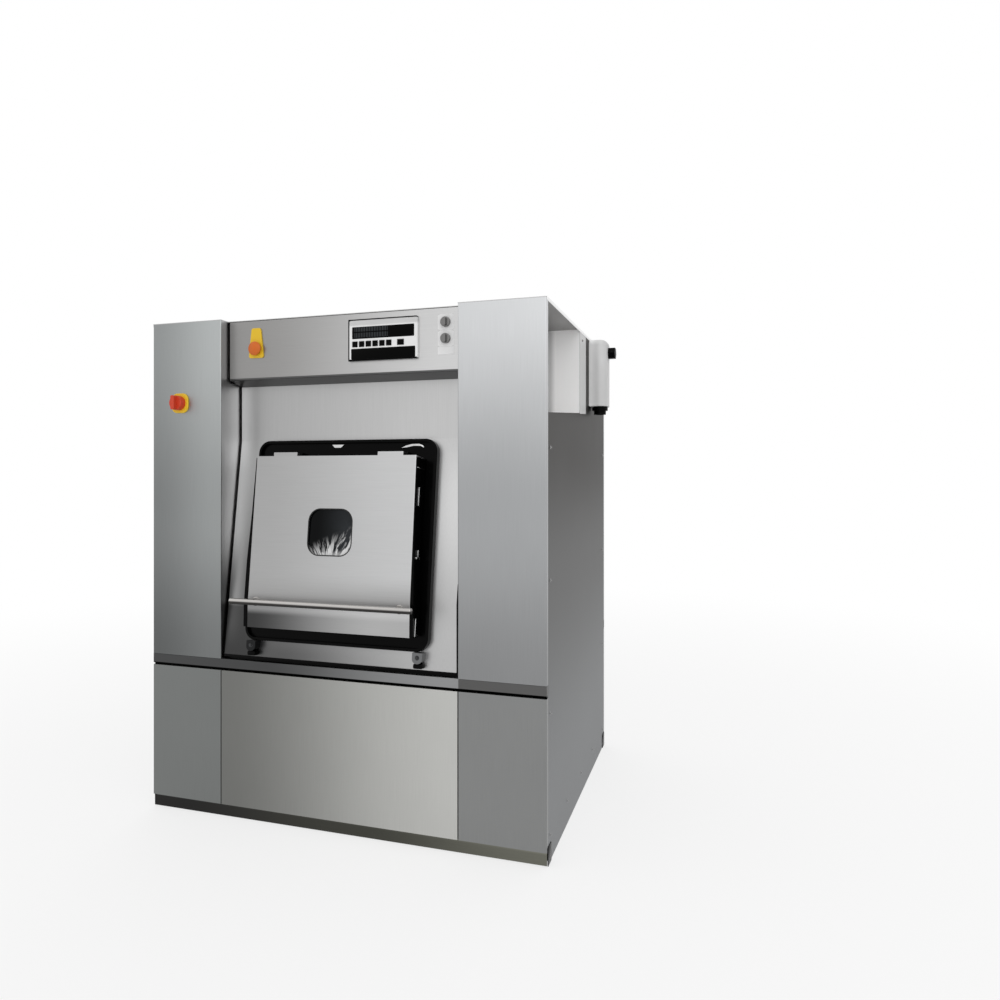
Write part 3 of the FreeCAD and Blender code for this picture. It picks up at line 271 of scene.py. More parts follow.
wear("front_left_column", brushed_steel("left_column_steel", left_column_tone))
# The right column is painted lighter towards the top and the lintel lighter to the right, as painted
# reflection; along its foot the lintel is painted dark as painted shadow.
wear("front_right_column", brushed_steel("right_column_steel", grey(140, -0.015), [
    ("z", 0.60, 1.15, grey(164, -0.02)), ("z", 1.20, 1.90, grey(208, -0.015))]))
wear("front_lintel", brushed_steel("lintel_steel", grey(150, 0.015), [
    ("x", -0.38, 0.46, grey(204)), ("z", *LINTEL_FOOT_SHADE, grey(92))], grain="x"))


# %% Apron
def apron_tone(apron):
    """Painted light: bright by the left slot, painted shade by the door's left edge, pale on the right, with
    painted shade at the foot.
    """
    slot_side = apron.blend("z", 0.85, 1.15, grey(170), grey(206))
    slot_side = apron.blend("z", 1.30, 1.48, slot_side, grey(236))
    door_side = apron.blend("z", 0.88, 1.40, grey(116), grey(172))
    left = apron.blend("x", -0.468, -0.400, slot_side, door_side)
    right = apron.blend("z", 0.80, 1.20, grey(186), grey(213))
    right = apron.blend("z", 1.25, 1.45, right, grey(192))
    face = apron.blend("x", -0.38, 0.38, left, right)
    foot = apron.blend("x", -0.25, 0.45, grey(94), grey(182))
    tone = apron.blend("z", 0.76, 0.63, face, foot)
    # Painted shadow of the door frame on the apron beside the door's lower left edge.
    frame_shadow_share = apron.fade(apron.along("x"), -0.33, -0.37) * apron.fade(apron.along("z"), 0.824, 0.800)
    return apron.mixed(frame_shadow_share * 0.85, tone, grey(64))


wear("front_apron", brushed_steel("apron_steel", apron_tone))

# %% [markdown]
# ## Door leaf, lower panels and the other sheets
# The leaf is folded along a line near its foot, and the strip below the fold looks down, so its colour is
# painted darker there as painted shade.
# The lower front is one solid with two upright seams. Both could be cut into more solids, but a fade that
# is only a millimetre or two long changes the tone just as sharply as a fold or a seam does. These tones are
# painted reflection and shade.

# %% Door leaf
FOLD_HEIGHT = 0.832


def leaf_tone(leaf):
    """The face is painted lighter to the right and darker towards the fold as painted reflection and shade; the
    strip under the fold is painted pale at its top and darker below, as painted light and shade.
    """
    face = leaf.blend("x", -0.34, 0.34, grey(168), grey(197, -0.005))
    face = leaf.blend("z", 0.96, 0.84, face, grey(160, 0.005))
    strip_top = leaf.blend("x", -0.33, 0.24, grey(142), grey(196))
    strip_foot_shade = leaf.blend("x", -0.32, 0.22, grey(68), grey(176))
    strip = leaf.blend("z", FOLD_HEIGHT - 0.012, FOLD_HEIGHT - 0.038, strip_top, strip_foot_shade)
    return leaf.blend("z", FOLD_HEIGHT + 0.002, FOLD_HEIGHT - 0.002, face, strip)


wear("front_door", brushed_steel("door_steel", leaf_tone, grain="x"))
# The loading side's door, lower panels, columns and apron are painted lighter upwards or to one side, as
# painted reflection.
wear("rear_door", brushed_steel("rear_door_steel", grey(172), [("z", 0.75, 1.4, grey(190))], grain="x"))

# %% Lower panels, loading side and top
SEAM = 0.482
SEAM_WIDTH = 0.001
TOP_UNDERSIDE_SHADE = (1.8986, 1.8974)
# The lower front is painted lighter to the right as painted reflection, and its tone steps at the seams are
# painted reflection too.
wear("front_lower_panels", brushed_steel("lower_panel_steel", grey(122, -0.01, 0.03), [
    ("x", -SEAM - SEAM_WIDTH, -SEAM, grey(116, 0.02, 0.03)), ("x", -0.50, 0.52, grey(189, 0.018, 0.02)),
    ("x", SEAM, SEAM + SEAM_WIDTH, grey(135, -0.005, 0.01))]))
wear("rear_lower_panels", brushed_steel("rear_lower_steel", grey(140), [("x", -0.6, 0.6, grey(165))]))
wear("rear_left_column rear_right_column", brushed_steel("rear_column_steel", grey(146), [
    ("z", 0.6, 1.9, grey(186, -0.01))]))
wear("rear_lintel", brushed_steel("rear_lintel_steel", grey(175), grain="x"))
wear("rear_apron", brushed_steel("rear_apron_steel", grey(186), [("z", 0.6, 1.5, grey(200))]))
# Below its top face the top sheet is painted darker as painted shade.
wear("top_cover", brushed_steel("top_sheet_steel", grey(205), [("z", *TOP_UNDERSIDE_SHADE, grey(162, 0.01))],
                                grain="x", roughness=0.5))

# %% [markdown]
# ## Side sheets
# The right side sheet has an open niche for service, lined with pale enamel, and a strip of the same enamel
# runs on behind it to the dispenser. Sheet and liner are one solid, so comparisons on the place make masks,
# and each mask is 1 where the enamel is. The mask also turns the metal off, because enamel is glass on
# steel. The steel is painted darker towards the top as painted shade, and the enamel in the niche's rear
# corner is painted darker as painted shade.

# %% Side sheets, the right one with its enamelled niche
SHEET_INSIDE = 0.7925
FLOOR_HEIGHT, FLOOR_SLOPE = 1.5565, 0.0724
NICHE_REAR, ENAMEL_END = -0.0205, 0.112


def side_sheet(name):
    """Darker stainless, painted darker towards the top as painted shade; the niche and the strip behind it are
    pale enamel, which is not metal, with painted shade in the niche's rear corner.
    """
    side = Finish(name)
    lines = side.noise(GRAIN_WIDTH, 3.0, GRAIN["z"])
    clouds = side.noise(0.5, 2.0)
    x, y, z = side.along("x"), side.along("y"), side.along("z")
    liner = (x > 0.3) * (x < SHEET_INSIDE) * (z > 1.5) * (y < 0.0)
    above_floor = z - y * FLOOR_SLOPE > FLOOR_HEIGHT
    strip = (x > SHEET_INSIDE) * above_floor * (y > NICHE_REAR) * (y < ENAMEL_END)
    # Painted shade in the niche's deep rear corner.
    corner = side.fade(x, 0.697, 0.668) * (y > -0.03)
    enamel = side.mixed(strip, side.mixed(corner, grey(254, 0.004), grey(198)), grey(204))
    # The steel is painted darker towards the top as painted shade.
    steel = side.blend("z", 0.25, 1.0, grey(154, -0.02), grey(122))
    steel = side.blend("z", 0.95, 1.42, steel, grey(88, 0.03))
    tone = side.mixed(liner + strip, steel, enamel)
    return side.shade({
        "Base Color": side.scaled(tone, 0.92 + clouds * 0.12 + lines * 0.06),
        "Metallic": 1.0 - liner - strip,
        "Specular Tint": (0.6, 0.6, 0.6, 1.0),
        "Roughness": 0.34 + clouds * 0.10 + lines * 0.06,
        "Normal": side.bump(lines, GRAIN_DEPTH, GRAIN_STRENGTH),
    })


wear("left_side_panel right_side_panel", side_sheet("side_sheet_steel"))

# %% [markdown]
# ## Other metals
# The tub and drum are stainless too, but rolled and welded, so they are smoother. The handle bars, pipes and
# shafts are drawn or turned, and the rails and kick plates are folded strips that lie in shade for most of
# their length. The steel function makes them all, with another grain, roughness or fade; the fades paint
# shade and reflection into the colour.

# %% Tub, drum, handle, pipes and shafts
HANDLE_UNDERSIDE_SHADE = (0.8545, 0.8485)
wear("tub", brushed_steel("tub_steel", grey(150), grain="x", roughness=0.3))
wear("drum drum_upper_flap drum_lower_flap", brushed_steel("drum_steel", grey(178), grain="x", roughness=0.24))
# The bar's lower half is painted dark as painted shade.
wear("front_door_handle rear_door_handle", brushed_steel("handle_bar_steel", grey(190, 0.03), [
    ("z", *HANDLE_UNDERSIDE_SHADE, grey(58, 0.05))], grain="x", roughness=0.24))
wear("water_inlets drain_valve", brushed_steel("pipe_steel", grey(165, 0.02), grain="y", roughness=0.3))
wear("drum_shafts", brushed_steel("shaft_steel", grey(170), grain="y", roughness=0.2))
wear("upper_key_switch lower_key_switch", brushed_steel("switch_plating", grey(122, 0.01), roughness=0.24))

# %% Rails, kick plates and clamp blocks
RAIL_SHADOW_EDGE = 0.572


def kick_tone(kick):
    """Dark and a little olive on the unloading side, painted lighter to the right as painted reflection, with a
    lighter upper edge.
    """
    front = kick.blend("x", -0.70, 0.20, grey(48, 0.02), grey(70, 0.08, 0.08))
    front = kick.blend("x", 0.10, 0.80, front, grey(106, 0.09, 0.09))
    tone = kick.blend("y", -0.2, 0.2, front, grey(78, 0.03))
    return kick.scaled(tone, 1.0 + kick.fade(kick.along("z"), 0.038, 0.051) * 0.5)


# The rails are painted lighter to the right as painted reflection, and black below the rail's nose as painted
# shadow.
wear("trim_rails", brushed_steel("rail_steel", grey(78, -0.01), [
    ("x", -0.30, 0.46, grey(146, -0.01)), ("x", SEAM, SEAM + SEAM_WIDTH, grey(94, 0.01)),
    ("z", RAIL_SHADOW_EDGE + 0.0006, RAIL_SHADOW_EDGE - 0.0002, grey(10))], grain="x"))
wear("kick_plates", brushed_steel("kick_plate_steel", kick_tone, grain="x"))
# The clamp blocks are painted darker on the left as painted shade.
wear("frame_clamps", brushed_steel("clamp_steel", grey(46, -0.02), [
    ("x", -0.2, 0.3, grey(112, -0.02))], grain="x"))

# %% [markdown]
# ## Cast iron and paint
# The welded frame and the motor are painted, the pulleys and bearing housings are cast, and the belt is
# rubber. None of them mirrors the room, so they need no grain lines: clouds in the tone and a fine pebble
# grain in the surface are enough, and one function with a few sizes serves them all.


# %% Frame, motor, castings and belt
def painted(name, tone, roughness, grain_size, depth, metallic=0.0):
    """Paint or bare casting: clouds in the tone, a fine grain in the surface."""
    paint = Finish(name)
    pebbles = paint.noise(grain_size, 4.0)
    clouds = paint.noise(0.25, 3.0)
    shade = 1.0 + (clouds - 0.5) * 0.35 + (pebbles - 0.5) * 0.15
    return paint.shade({
        "Base Color": paint.scaled(tone, shade),
        "Metallic": metallic,
        "Roughness": roughness + (clouds - 0.5) * 0.2,
        "Normal": paint.bump(pebbles, depth),
    })


wear("base_frame side_portals", painted("frame_paint", grey(118, -0.05), 0.5, 0.004, 0.0002))
wear("motor", painted("motor_paint", grey(96, -0.12), 0.45, 0.003, 0.0003))
wear("bearing_housings drum_pulley motor_pulley", painted("cast_iron", grey(92), 0.55, 0.003, 0.0006, 0.6))
wear("drive_belt", painted("belt_rubber", grey(34), 0.75, 0.002, 0.0002))

# %% [markdown]
# ## Plastics and rubber
# The door frame's black rubber and the keys are dark and a little glossy. A dark surface shows every pale
# thing around it, so its reflection is held down with the shader's specular level, which is a plain number.
# Moulds are spark-eroded, and the fine grain that this leaves is a small Noise texture in the Bump node.


# %% Moulded pieces
def moulded(name, tone, roughness, grain_size=0.0012, depth=0.00008, specular=0.3):
    """Moulded plastic or rubber: a fine spark-eroded grain and slight clouds; tone as for steel."""
    plastic = Finish(name)
    colour = tone(plastic) if callable(tone) else tone
    texture = plastic.noise(grain_size, 3.0)
    clouds = plastic.noise(0.12, 2.0)
    shade = 1.0 + (clouds - 0.5) * 0.22
    return plastic.shade({
        "Base Color": plastic.scaled(colour, shade),
        "Roughness": roughness + (texture - 0.5) * 0.14 + (clouds - 0.5) * 0.1,
        "Specular IOR Level": specular,
        "Normal": plastic.bump(texture, depth),
    })


rubber_and_shadow_black = moulded("black_frame_rubber", grey(9), 0.26, specular=0.06)
black_key = moulded("black_key_plastic", grey(9), 0.4, specular=0.06)
wear("front_door_frame rear_door_frame", rubber_and_shadow_black)
wear("dispenser_outlet dispenser_knob", black_key)
wear(" ".join(name for name in nodes if "_key_" in name and "switch" not in name), black_key)

# %% Signal colours, panel frame and dispenser housing
SIGNAL_YELLOW = (0.84, 0.55, 0.030, 1.0)
SIGNAL_RED = (0.64, 0.060, 0.024, 1.0)
STOP_ORANGE = (0.68, 0.15, 0.018, 1.0)


def panel_tone(panel):
    """White, a little greyer at the very top."""
    return panel.blend("z", 1.846, 1.853, grey(240), grey(208))


def housing_painted_light(housing):
    """Painted light: brightest by the side sheet, painted darker outwards as painted shade."""
    tone = housing.blend("x", 0.797, 0.828, grey(252), grey(222))
    return housing.blend("x", 0.840, 0.870, tone, grey(206))


wear("front_control_panel rear_control_panel", moulded("panel_frame_plastic", panel_tone, 0.4))
wear("isolator_plate emergency_plate", moulded("signal_yellow_plastic", SIGNAL_YELLOW, 0.35))
wear("isolator_knob", moulded("signal_red_plastic", SIGNAL_RED, 0.32))
wear("emergency_button", moulded("stop_orange_plastic", STOP_ORANGE, 0.32))
wear("dispenser_housing", moulded("white_housing_plastic", housing_painted_light, 0.42))

# %% [markdown]
# ## Door glass
# Behind the glass the drum is dark, and wet suds cling to the lower half in slanting strokes above a pale
# pool at the foot. The strokes fan out from a point below the window, so the noise that draws them reads
# across divided by height. A ramp cuts it into strokes, and fades keep them low and run them together.

# %% Dark glass with clinging suds
FAN_FOOT = 0.94
STROKE_EDGES = [(0.46, (0, 0, 0, 1)), (0.56, (1, 1, 1, 1))]


def door_glass(name, facing):
    """Near black glass; facing is 1 on the unloading side and -1 on the loading side."""
    glass = Finish(name)
    film = glass.noise(0.05, 3.0)
    x, z = glass.along("x") * facing, glass.along("z")
    fan = glass.node("ShaderNodeCombineXYZ", None, {0: x / (z - FAN_FOOT) * 7.5, 1: z * 15.0, 2: x * 9.0})
    strokes = glass.node("ShaderNodeTexNoise", None, {"Vector": fan, "Scale": 1.0, "Detail": 3.0,
                                                      "Roughness": 0.6, "Distortion": 0.9})
    ramp = glass.node("ShaderNodeValToRGB", {"stops": STROKE_EDGES}, {0: strokes})
    low_part = glass.fade(z - x * 0.42, 1.096, 1.030)
    pool = glass.fade(z - x * 0.10, 1.036, 1.014)
    suds = ramp * low_part * (1.0 - pool) + pool * (0.55 + ramp * 0.45)
    dark = glass.blend("x", -0.06 * facing, 0.09 * facing, grey(13, -0.25), grey(52, -0.10))
    return glass.shade({
        "Base Color": glass.mixed(suds, glass.scaled(dark, 0.7 + film * 0.6), grey(222)),
        "Roughness": 0.07 + film * 0.08 + suds * 0.35,
        "Specular IOR Level": 0.08,
    })


wear("front_door_window", door_glass("front_door_glass", 1))
wear("rear_door_window", door_glass("rear_door_glass", -1))

# %% [markdown]
# ## Places on the fronts
# Apron, frame and door lean back by 7.5 degrees about the drum's axis, on both sides of the machine. A
# place there is easiest to give as across, outwards and upwards. Small functions turn such a place into the
# frame's own axes, turn it half round for the loading side, or set a plate on its edge. An object's own
# rotation would do the same, but a finished piece keeps its place in its mesh, so the points are turned.

# %% From slope to frame
TILT = math.radians(7.5)
AXIS_HEIGHT = 0.985


def on_slope(x, n, s):
    """Across, outwards and upwards on the leaning front."""
    return (x, s * math.sin(TILT) - n * math.cos(TILT), AXIS_HEIGHT + n * math.sin(TILT) + s * math.cos(TILT))


def on_front(x, n, z):
    """Across, outwards and upwards on an upright front."""
    return (x, -n, z)


def at_rear(place):
    """The same way of giving a place, for the loading side."""
    def turned(x, n, s):
        a, b, c = place(x, n, s)
        return (-a, -b, c)
    return turned


def on_edge(place, hand=1):
    """For a plate on its edge: the outline runs outwards and upwards, its depth to the hand's side."""
    return lambda n, x, s: place(hand * x, n, s)


SIDES = (("front", lambda place: place), ("rear", at_rear))
HANDS = (-1, 1)
print("door axis on the slope:", [round(v, 3) for v in on_slope(0.0, 0.566, 0.0)])

# %% [markdown]
# ## Making a piece
# A small piece is an outline pushed to a depth, or a section carried round a closed path. Both are quick
# to write in bmesh, and a bevel on the front edge catches the light as a real edge does. Every piece then
# takes a finish and rides on a body of the model.


# %% Outlines
def rounded(width, height, corner, centre=(0.0, 0.0), steps=3):
    """Points round a rectangle with round corners."""
    points = []
    for quarter, (a, b) in enumerate(((1, 1), (-1, 1), (-1, -1), (1, -1))):
        for step in range(steps + 1):
            angle = math.pi / 2 * (quarter + step / steps)
            points.append((centre[0] + a * (width / 2 - corner) + corner * math.cos(angle),
                           centre[1] + b * (height / 2 - corner) + corner * math.sin(angle)))
    return points


def band(half, low, high):
    """Corners of a band that reaches equally far to both sides."""
    return [(-half, low), (half, low), (half, high), (-half, high)]


def half_round(width, height, steps=6):
    """Section of a moulded lip: flat on its seat, round outside."""
    arc = [math.pi * step / steps for step in range(steps + 1)]
    return [(width / 2 * math.cos(a), height * math.sin(a)) for a in arc]


print("a rounded outline has", len(rounded(1.0, 1.0, 0.1)), "points")


# %% Plates and swept rings
def plate(outline, low, high, place, edge=0.0, shape=None):
    """An outline pushed from one depth to another, with its front edge rounded."""
    shape = shape or bmesh.new()
    back = [shape.verts.new(place(u, low, v)) for u, v in outline]
    front = [shape.verts.new(place(u, high, v)) for u, v in outline]
    shape.faces.new(back)
    face = shape.faces.new(front)
    for i in range(len(outline)):
        shape.faces.new((back[i - 1], back[i], front[i], front[i - 1]))
    if edge:
        bmesh.ops.bevel(shape, geom=list(face.edges), offset=edge, segments=2, profile=0.5, affect="EDGES")
    return shape


def swept(path, section, place):
    """A closed section of (outwards, depth) carried round a closed path."""
    shape = bmesh.new()
    rings = []
    for i, (u, v) in enumerate(path):
        before, after = path[i - 1], path[(i + 1) % len(path)]
        run = Vector((after[0] - before[0], after[1] - before[1])).normalized()
        rings.append([shape.verts.new(place(u + run.y * out, depth, v - run.x * out))
                      for out, depth in section])
    for i, ring in enumerate(rings):
        for k in range(len(section)):
            shape.faces.new((rings[i - 1][k - 1], rings[i - 1][k], ring[k], ring[k - 1]))
    return shape


print("plates and rings can be made")

# %% From shape to piece
SHARP_FROM = math.radians(35)


def dressed(name, mesh, material, body):
    """A finished piece: its mesh takes the finish and rides on a body."""
    mesh.materials.clear()
    mesh.materials.append(material)
    mesh.polygons.foreach_set("use_smooth", [True] * len(mesh.polygons))
    mesh.set_sharp_from_angle(angle=SHARP_FROM)
    made = bpy.data.objects.new(name, mesh)
    scene.collection.objects.link(made)
    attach(made, body)
    print(name, len(mesh.polygons), "faces on", body)


def piece(name, shape, material, body):
    """Turns a bmesh into a finished piece."""
    bmesh.ops.remove_doubles(shape, verts=shape.verts, dist=1e-6)
    bmesh.ops.recalc_face_normals(shape, faces=shape.faces)
    mesh = bpy.data.meshes.new(name)
    shape.to_mesh(mesh)
    shape.free()
    dressed(name, mesh, material, body)


print("pieces can be dressed")

# %% [markdown]
# ## Display and band of the control panel
# The panel has a dark display window above its keys and a plain black band below them. The display shows
# only faint unlit cells, which repeat evenly, so a little arithmetic on the coordinates draws them. A thin
# black lip on three sides of the panel is painted shadow along its edge, and a thin black line closes the
# foot of the band.

# %% Display glass
DISPLAY_SIZE, DISPLAY_RISE = (0.245, 0.043), 0.026
CELL_WIDTH, CELL_HEIGHT = 0.0105, 0.0215


def display_finish(name, left, width, foot):
    """Black glass with two rows of faint unlit cells in its left part."""
    glass = Finish(name)
    x = glass.along("x")
    z = glass.along("z")
    film = glass.noise(0.02, 2.0)
    across = glass.node("ShaderNodeMath", {"operation": "FRACT"}, {0: (x - left) / CELL_WIDTH})
    rows = glass.node("ShaderNodeMath", {"operation": "FRACT"}, {0: (z - foot) / CELL_HEIGHT})
    near_end = (x - left) / width
    cells = (across > 0.28) * (rows > 0.22) * (near_end > 0.03) * (near_end < 0.58)
    tone = glass.mixed(cells * (0.5 + film), grey(6), grey(58, -0.08))
    return glass.shade({"Base Color": tone, "Roughness": 0.12 + film * 0.10, "Specular IOR Level": 0.05})


def panel_place(side):
    """Hand of a side, then its panel's middle across, middle height and face, as seen from that side."""
    low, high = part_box(side + "_control_panel")
    hand = 1 if side == "front" else -1
    return hand, hand * (low.x + high.x) / 2, (low.z + high.z) / 2, -low.y if side == "front" else high.y


print("front panel:", [round(v, 4) for v in panel_place("front")])

# %% Display, band and painted shadow lip on both panels
BAND_SIZE, BAND_RISE = (0.253, 0.038), -0.0505
GLASS_BACK, GLASS_FRONT = 0.0019, 0.0004
LIP = 0.003
LIP_LEFT, LIP_RIGHT, LIP_RISE = 0.1352, 0.132, 0.0727
LIP_DEPTH, LIP_STAND = 0.0095, 0.0002
band_and_shadow_black = moulded("black_band_gloss", grey(6), 0.16, 0.0006, 0.00002, 0.05)
for side, turn in SIDES:
    hand, across, middle, face = panel_place(side)
    width = DISPLAY_SIZE[0]
    glass = display_finish(side + "_display_glass", (across - width / 2) * hand, width * hand,
                           middle + DISPLAY_RISE - CELL_HEIGHT)
    for part, material, size, rise in (("_display", glass, DISPLAY_SIZE, DISPLAY_RISE),
                                       ("_band", band_and_shadow_black, BAND_SIZE, BAND_RISE)):
        sheet = plate(rounded(*size, 0.0025, (across, middle + rise), 6), face - GLASS_BACK,
                      face - GLASS_FRONT, turn(on_front), 0.0004)
        piece(side + part, sheet, material, "cabinet")
    left, right, top, foot = across - LIP_LEFT, across + LIP_RIGHT, middle + LIP_RISE, middle - LIP_RISE
    wrap = [(left - LIP, foot - LIP), (right, foot - LIP), (right, foot), (left, foot), (left, top),
            (right, top), (right, top + LIP), (left - LIP, top + LIP)]
    # The lip is a black strip of painted shadow along the panel's edge; the line below the band belongs to the
    # black band.
    shadow_lip_and_band_line = plate(wrap, face - LIP_DEPTH, face + LIP_STAND, turn(on_front))
    below_band = [(left + 0.002, foot), (right, foot), (right, foot + LIP), (left + 0.002, foot + LIP)]
    plate(below_band, face + 0.00004, face + LIP_STAND, turn(on_front), shape=shadow_lip_and_band_line)
    piece(side + "_panel_lip", shadow_lip_and_band_line, band_and_shadow_black, "cabinet")

# %% [markdown]
# ## Door trim
# Each door is a steel leaf with a black rubber edging down its sides, a gasket round the window and plated
# latch fittings on one edge. The leaf's face leans and folds, so one function says how far it stands out at
# each height, and the trim asks it. The edging is an outline seen from the side, pushed across by little
# more than a millimetre. Its outer face is then moved out where the rubber thickens to the foot.

# %% Window gasket
FOLD = -0.237
WINDOW_SIZE, WINDOW_CORNER, WINDOW_RISE = (0.176, 0.168), 0.046, 0.033
gasket_rubber = moulded("gasket_rubber", grey(52), 0.45, specular=0.15)


def leaf_face(s):
    """How far the leaf's face stands out at a height on the slope."""
    return 0.6275 + (s - FOLD) * (0.012 / 0.548 if s > FOLD else 0.009 / 0.084)


for side, turn in SIDES:
    ring = rounded(*WINDOW_SIZE, WINDOW_CORNER, (0.0, WINDOW_RISE), 8)
    gasket = swept(ring, half_round(0.004, 0.0014),
                   lambda x, n, s: turn(on_slope)(x, leaf_face(s) + n, s))
    piece(side + "_window_gasket", gasket, gasket_rubber, side + "_door")

# %% Rubber edging of the leaf
EDGING_ROOT, EDGING_BACK, EDGING_FACE = 0.570, 0.3252, 0.3264
EDGING_HEIGHTS = (0.305, 0.10, -0.08, FOLD, -0.320)


def lip(s, hand=1):
    """The edging's lip thickens from the middle of the leaf to its foot, on the left more than on the right."""
    most, start, run = (0.011, 0.10, 0.34) if hand > 0 else (0.014, 0.20, 0.30)
    return most * min(1.0, max(0.0, (start - s) / run))


edging_outline = [(EDGING_ROOT, s) for s in reversed(EDGING_HEIGHTS)]
edging_outline += [(leaf_face(s) - 0.001, s) for s in EDGING_HEIGHTS]
for side, turn in SIDES:
    edging = bmesh.new()
    for hand in HANDS:
        def thickened(n, x, s):
            out = lip(s, hand) if x > EDGING_BACK else 0.0
            return turn(on_slope)(hand * (x + out), n, s)
        plate(edging_outline, EDGING_BACK, EDGING_FACE, thickened, shape=edging)
    piece(side + "_leaf_edging", edging, rubber_and_shadow_black, side + "_door")

# %% Latch fittings on the leaf's edge
LATCHES = (((0.604, 0.168), 0.011, 0.068), ((0.600, -0.048), 0.034, 0.008), ((0.596, -0.034), 0.010, 0.030),
           ((0.604, -0.286), 0.007, 0.062), ((0.592, -0.314), 0.030, 0.006), ((0.603, 0.268), 0.060, 0.003))
LATCH_SEAT, LATCH_STAND = 0.3265, 0.0033
plating_and_glint = brushed_steel("latch_plating", grey(205), roughness=0.22)
for side, turn in SIDES:
    fittings = bmesh.new()
    for centre, width, height in LATCHES:
        outline = rounded(width, height, min(width, height) * 0.4, centre)
        seat = LATCH_SEAT + lip(centre[1])
        plate(outline, seat, seat + LATCH_STAND, on_edge(turn(on_slope)), 0.0006, fittings)
    piece(side + "_leaf_latches", fittings, plating_and_glint, side + "_door")

# %% [markdown]
# ## Seals and painted shadow strips of the cabinet
# Black rubber strips close the gap under each apron and the upright slots beside it, so that no light shows
# through; they are painted shadow of these gaps, with a thin strip in the lower front's seam as its dark
# joint. A black wedge of the same rubber on the column to the right of each door is painted shadow of the
# gap there. They are plain plates, laid on the slope or stood on their edge in a slot.

# %% Apron foot seal, painted shadow of the gap
FRONT_BAND, FRONT_DEPTH = band(0.4726, -0.4440, -0.4360), (0.5362, 0.5395)
BACK_BAND, BACK_DEPTH = band(0.480, -0.4700, -0.4435), (0.5200, 0.5240)
for side, turn in SIDES:
    # Black strips in the gap under the apron, painted shadow of the gap.
    foot_shadow_strip = bmesh.new()
    for outline, depth in ((FRONT_BAND, FRONT_DEPTH), (BACK_BAND, BACK_DEPTH)):
        plate(outline, *depth, turn(on_slope), 0.001, foot_shadow_strip)
    piece(side + "_apron_seal", foot_shadow_strip, rubber_and_shadow_black, "cabinet")

# %% Seals in the upright slots, painted shadow of the gaps
APRON_SLOT = [(0.582, 0.610), (0.4727, 1.440), (0.4727, 1.690), (0.4607, 1.690), (0.4607, 1.440),
              (0.570, 0.610)]
LINTEL_SLOT = [(0.540, 1.662), (0.540, 1.894), (0.500, 1.894), (0.500, 1.662)]
PANEL_SEAM = [(0.592, 0.056), (0.592, 0.560), (0.583, 0.560), (0.583, 0.056)]
SLOT_WIDTH, SEAM_SLIT = (0.4734, 0.4806), (0.4803, 0.4817)
for side, turn in SIDES:
    # Black strips in the slots beside the apron and lintel are painted shadow of these gaps; the strip in the
    # lower front's seam is its dark joint.
    shadow_strips_and_seam = bmesh.new()
    for hand in HANDS:
        for outline, width in ((APRON_SLOT, SLOT_WIDTH), (LINTEL_SLOT, SLOT_WIDTH), (PANEL_SEAM, SEAM_SLIT)):
            plate(outline, *width, on_edge(turn(on_front), hand), shape=shadow_strips_and_seam)
    piece(side + "_slot_seals", shadow_strips_and_seam, rubber_and_shadow_black, "cabinet")

# %% Edge strip on the column to the right of each door, painted shadow of the gap
EDGE_SHADOW_WEDGE = [(0.4808, 0.612), (0.4808, 0.930), (0.4796, 0.930), (0.4752, 0.860), (0.4752, 0.612)]
STRIP_DEPTH = (0.5905, 0.5960)
for side, turn in SIDES:
    # A black wedge on the column, painted shadow of the gap beside the apron.
    shadow_wedge = plate(EDGE_SHADOW_WEDGE, *STRIP_DEPTH, turn(on_front))
    piece(side + "_edge_strip", shadow_wedge, rubber_and_shadow_black, "cabinet")

# %% [markdown]
# ## Plates of the key switches
# Each key switch stands on a pale enamelled plate, with a blank strip below the lower one. A plate with a
# hole could be cut with a Boolean, but rings of points from the hole out to the edge and back give a clean
# closed mesh at once.


# %% Plates behind the key switches
def holed_plate(centre, width, height, hole, low, high, place, steps=24):
    """A rectangular plate with a round hole: rings of points from the hole out to the edge and back."""
    shape = bmesh.new()
    inner, outer = [], []
    for step in range(steps):
        a = math.tau * (step + 0.5) / steps
        reach = 1.0 / max(abs(math.cos(a)) / (width / 2), abs(math.sin(a)) / (height / 2))
        inner.append((centre[0] + hole * math.cos(a), centre[1] + hole * math.sin(a)))
        outer.append((centre[0] + reach * math.cos(a), centre[1] + reach * math.sin(a)))
    rings = [[shape.verts.new(place(u, depth, v)) for u, v in loop]
             for loop, depth in ((inner, low), (outer, low), (outer, high), (inner, high))]
    for k in range(4):
        for i in range(steps):
            shape.faces.new((rings[k - 1][i - 1], rings[k - 1][i], rings[k][i], rings[k][i - 1]))
    return shape


PLATE_SIZE, BARREL = (0.060, 0.057), 0.0094
lintel_seat = 0.00004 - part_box("front_lintel")[0].y
enamel = moulded("switch_plate_enamel", grey(236), 0.4)
for name in ("upper_key_switch", "lower_key_switch"):
    low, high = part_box(name)
    centre = ((low.x + high.x) / 2, (low.z + high.z) / 2)
    backing = holed_plate(centre, *PLATE_SIZE, BARREL, lintel_seat, lintel_seat + 0.0002, on_front)
    piece(name + "_plate", backing, enamel, "cabinet")
below_lower = (centre[0], centre[1] - 0.0425)
blank = plate(rounded(0.060, 0.026, 0.002, below_lower), lintel_seat, lintel_seat + 0.00056, on_front)
piece("switch_blank_strip", blank, enamel, "cabinet")

# %% [markdown]
# ## Caps, mat, folds, buffers and strikers
# Moulded caps close the ends of the kick plates, a dark mat filters the motor's air behind its slots, and
# the top sheet is folded down at both sides, its fold painted bright as a painted highlight. Rubber buffers
# sit under the clamp blocks, and a plated striker sits on each door frame beside a plated crescent that is a
# painted reflection on the frame's corner. These are plain plates again, most of them with a rounded edge.

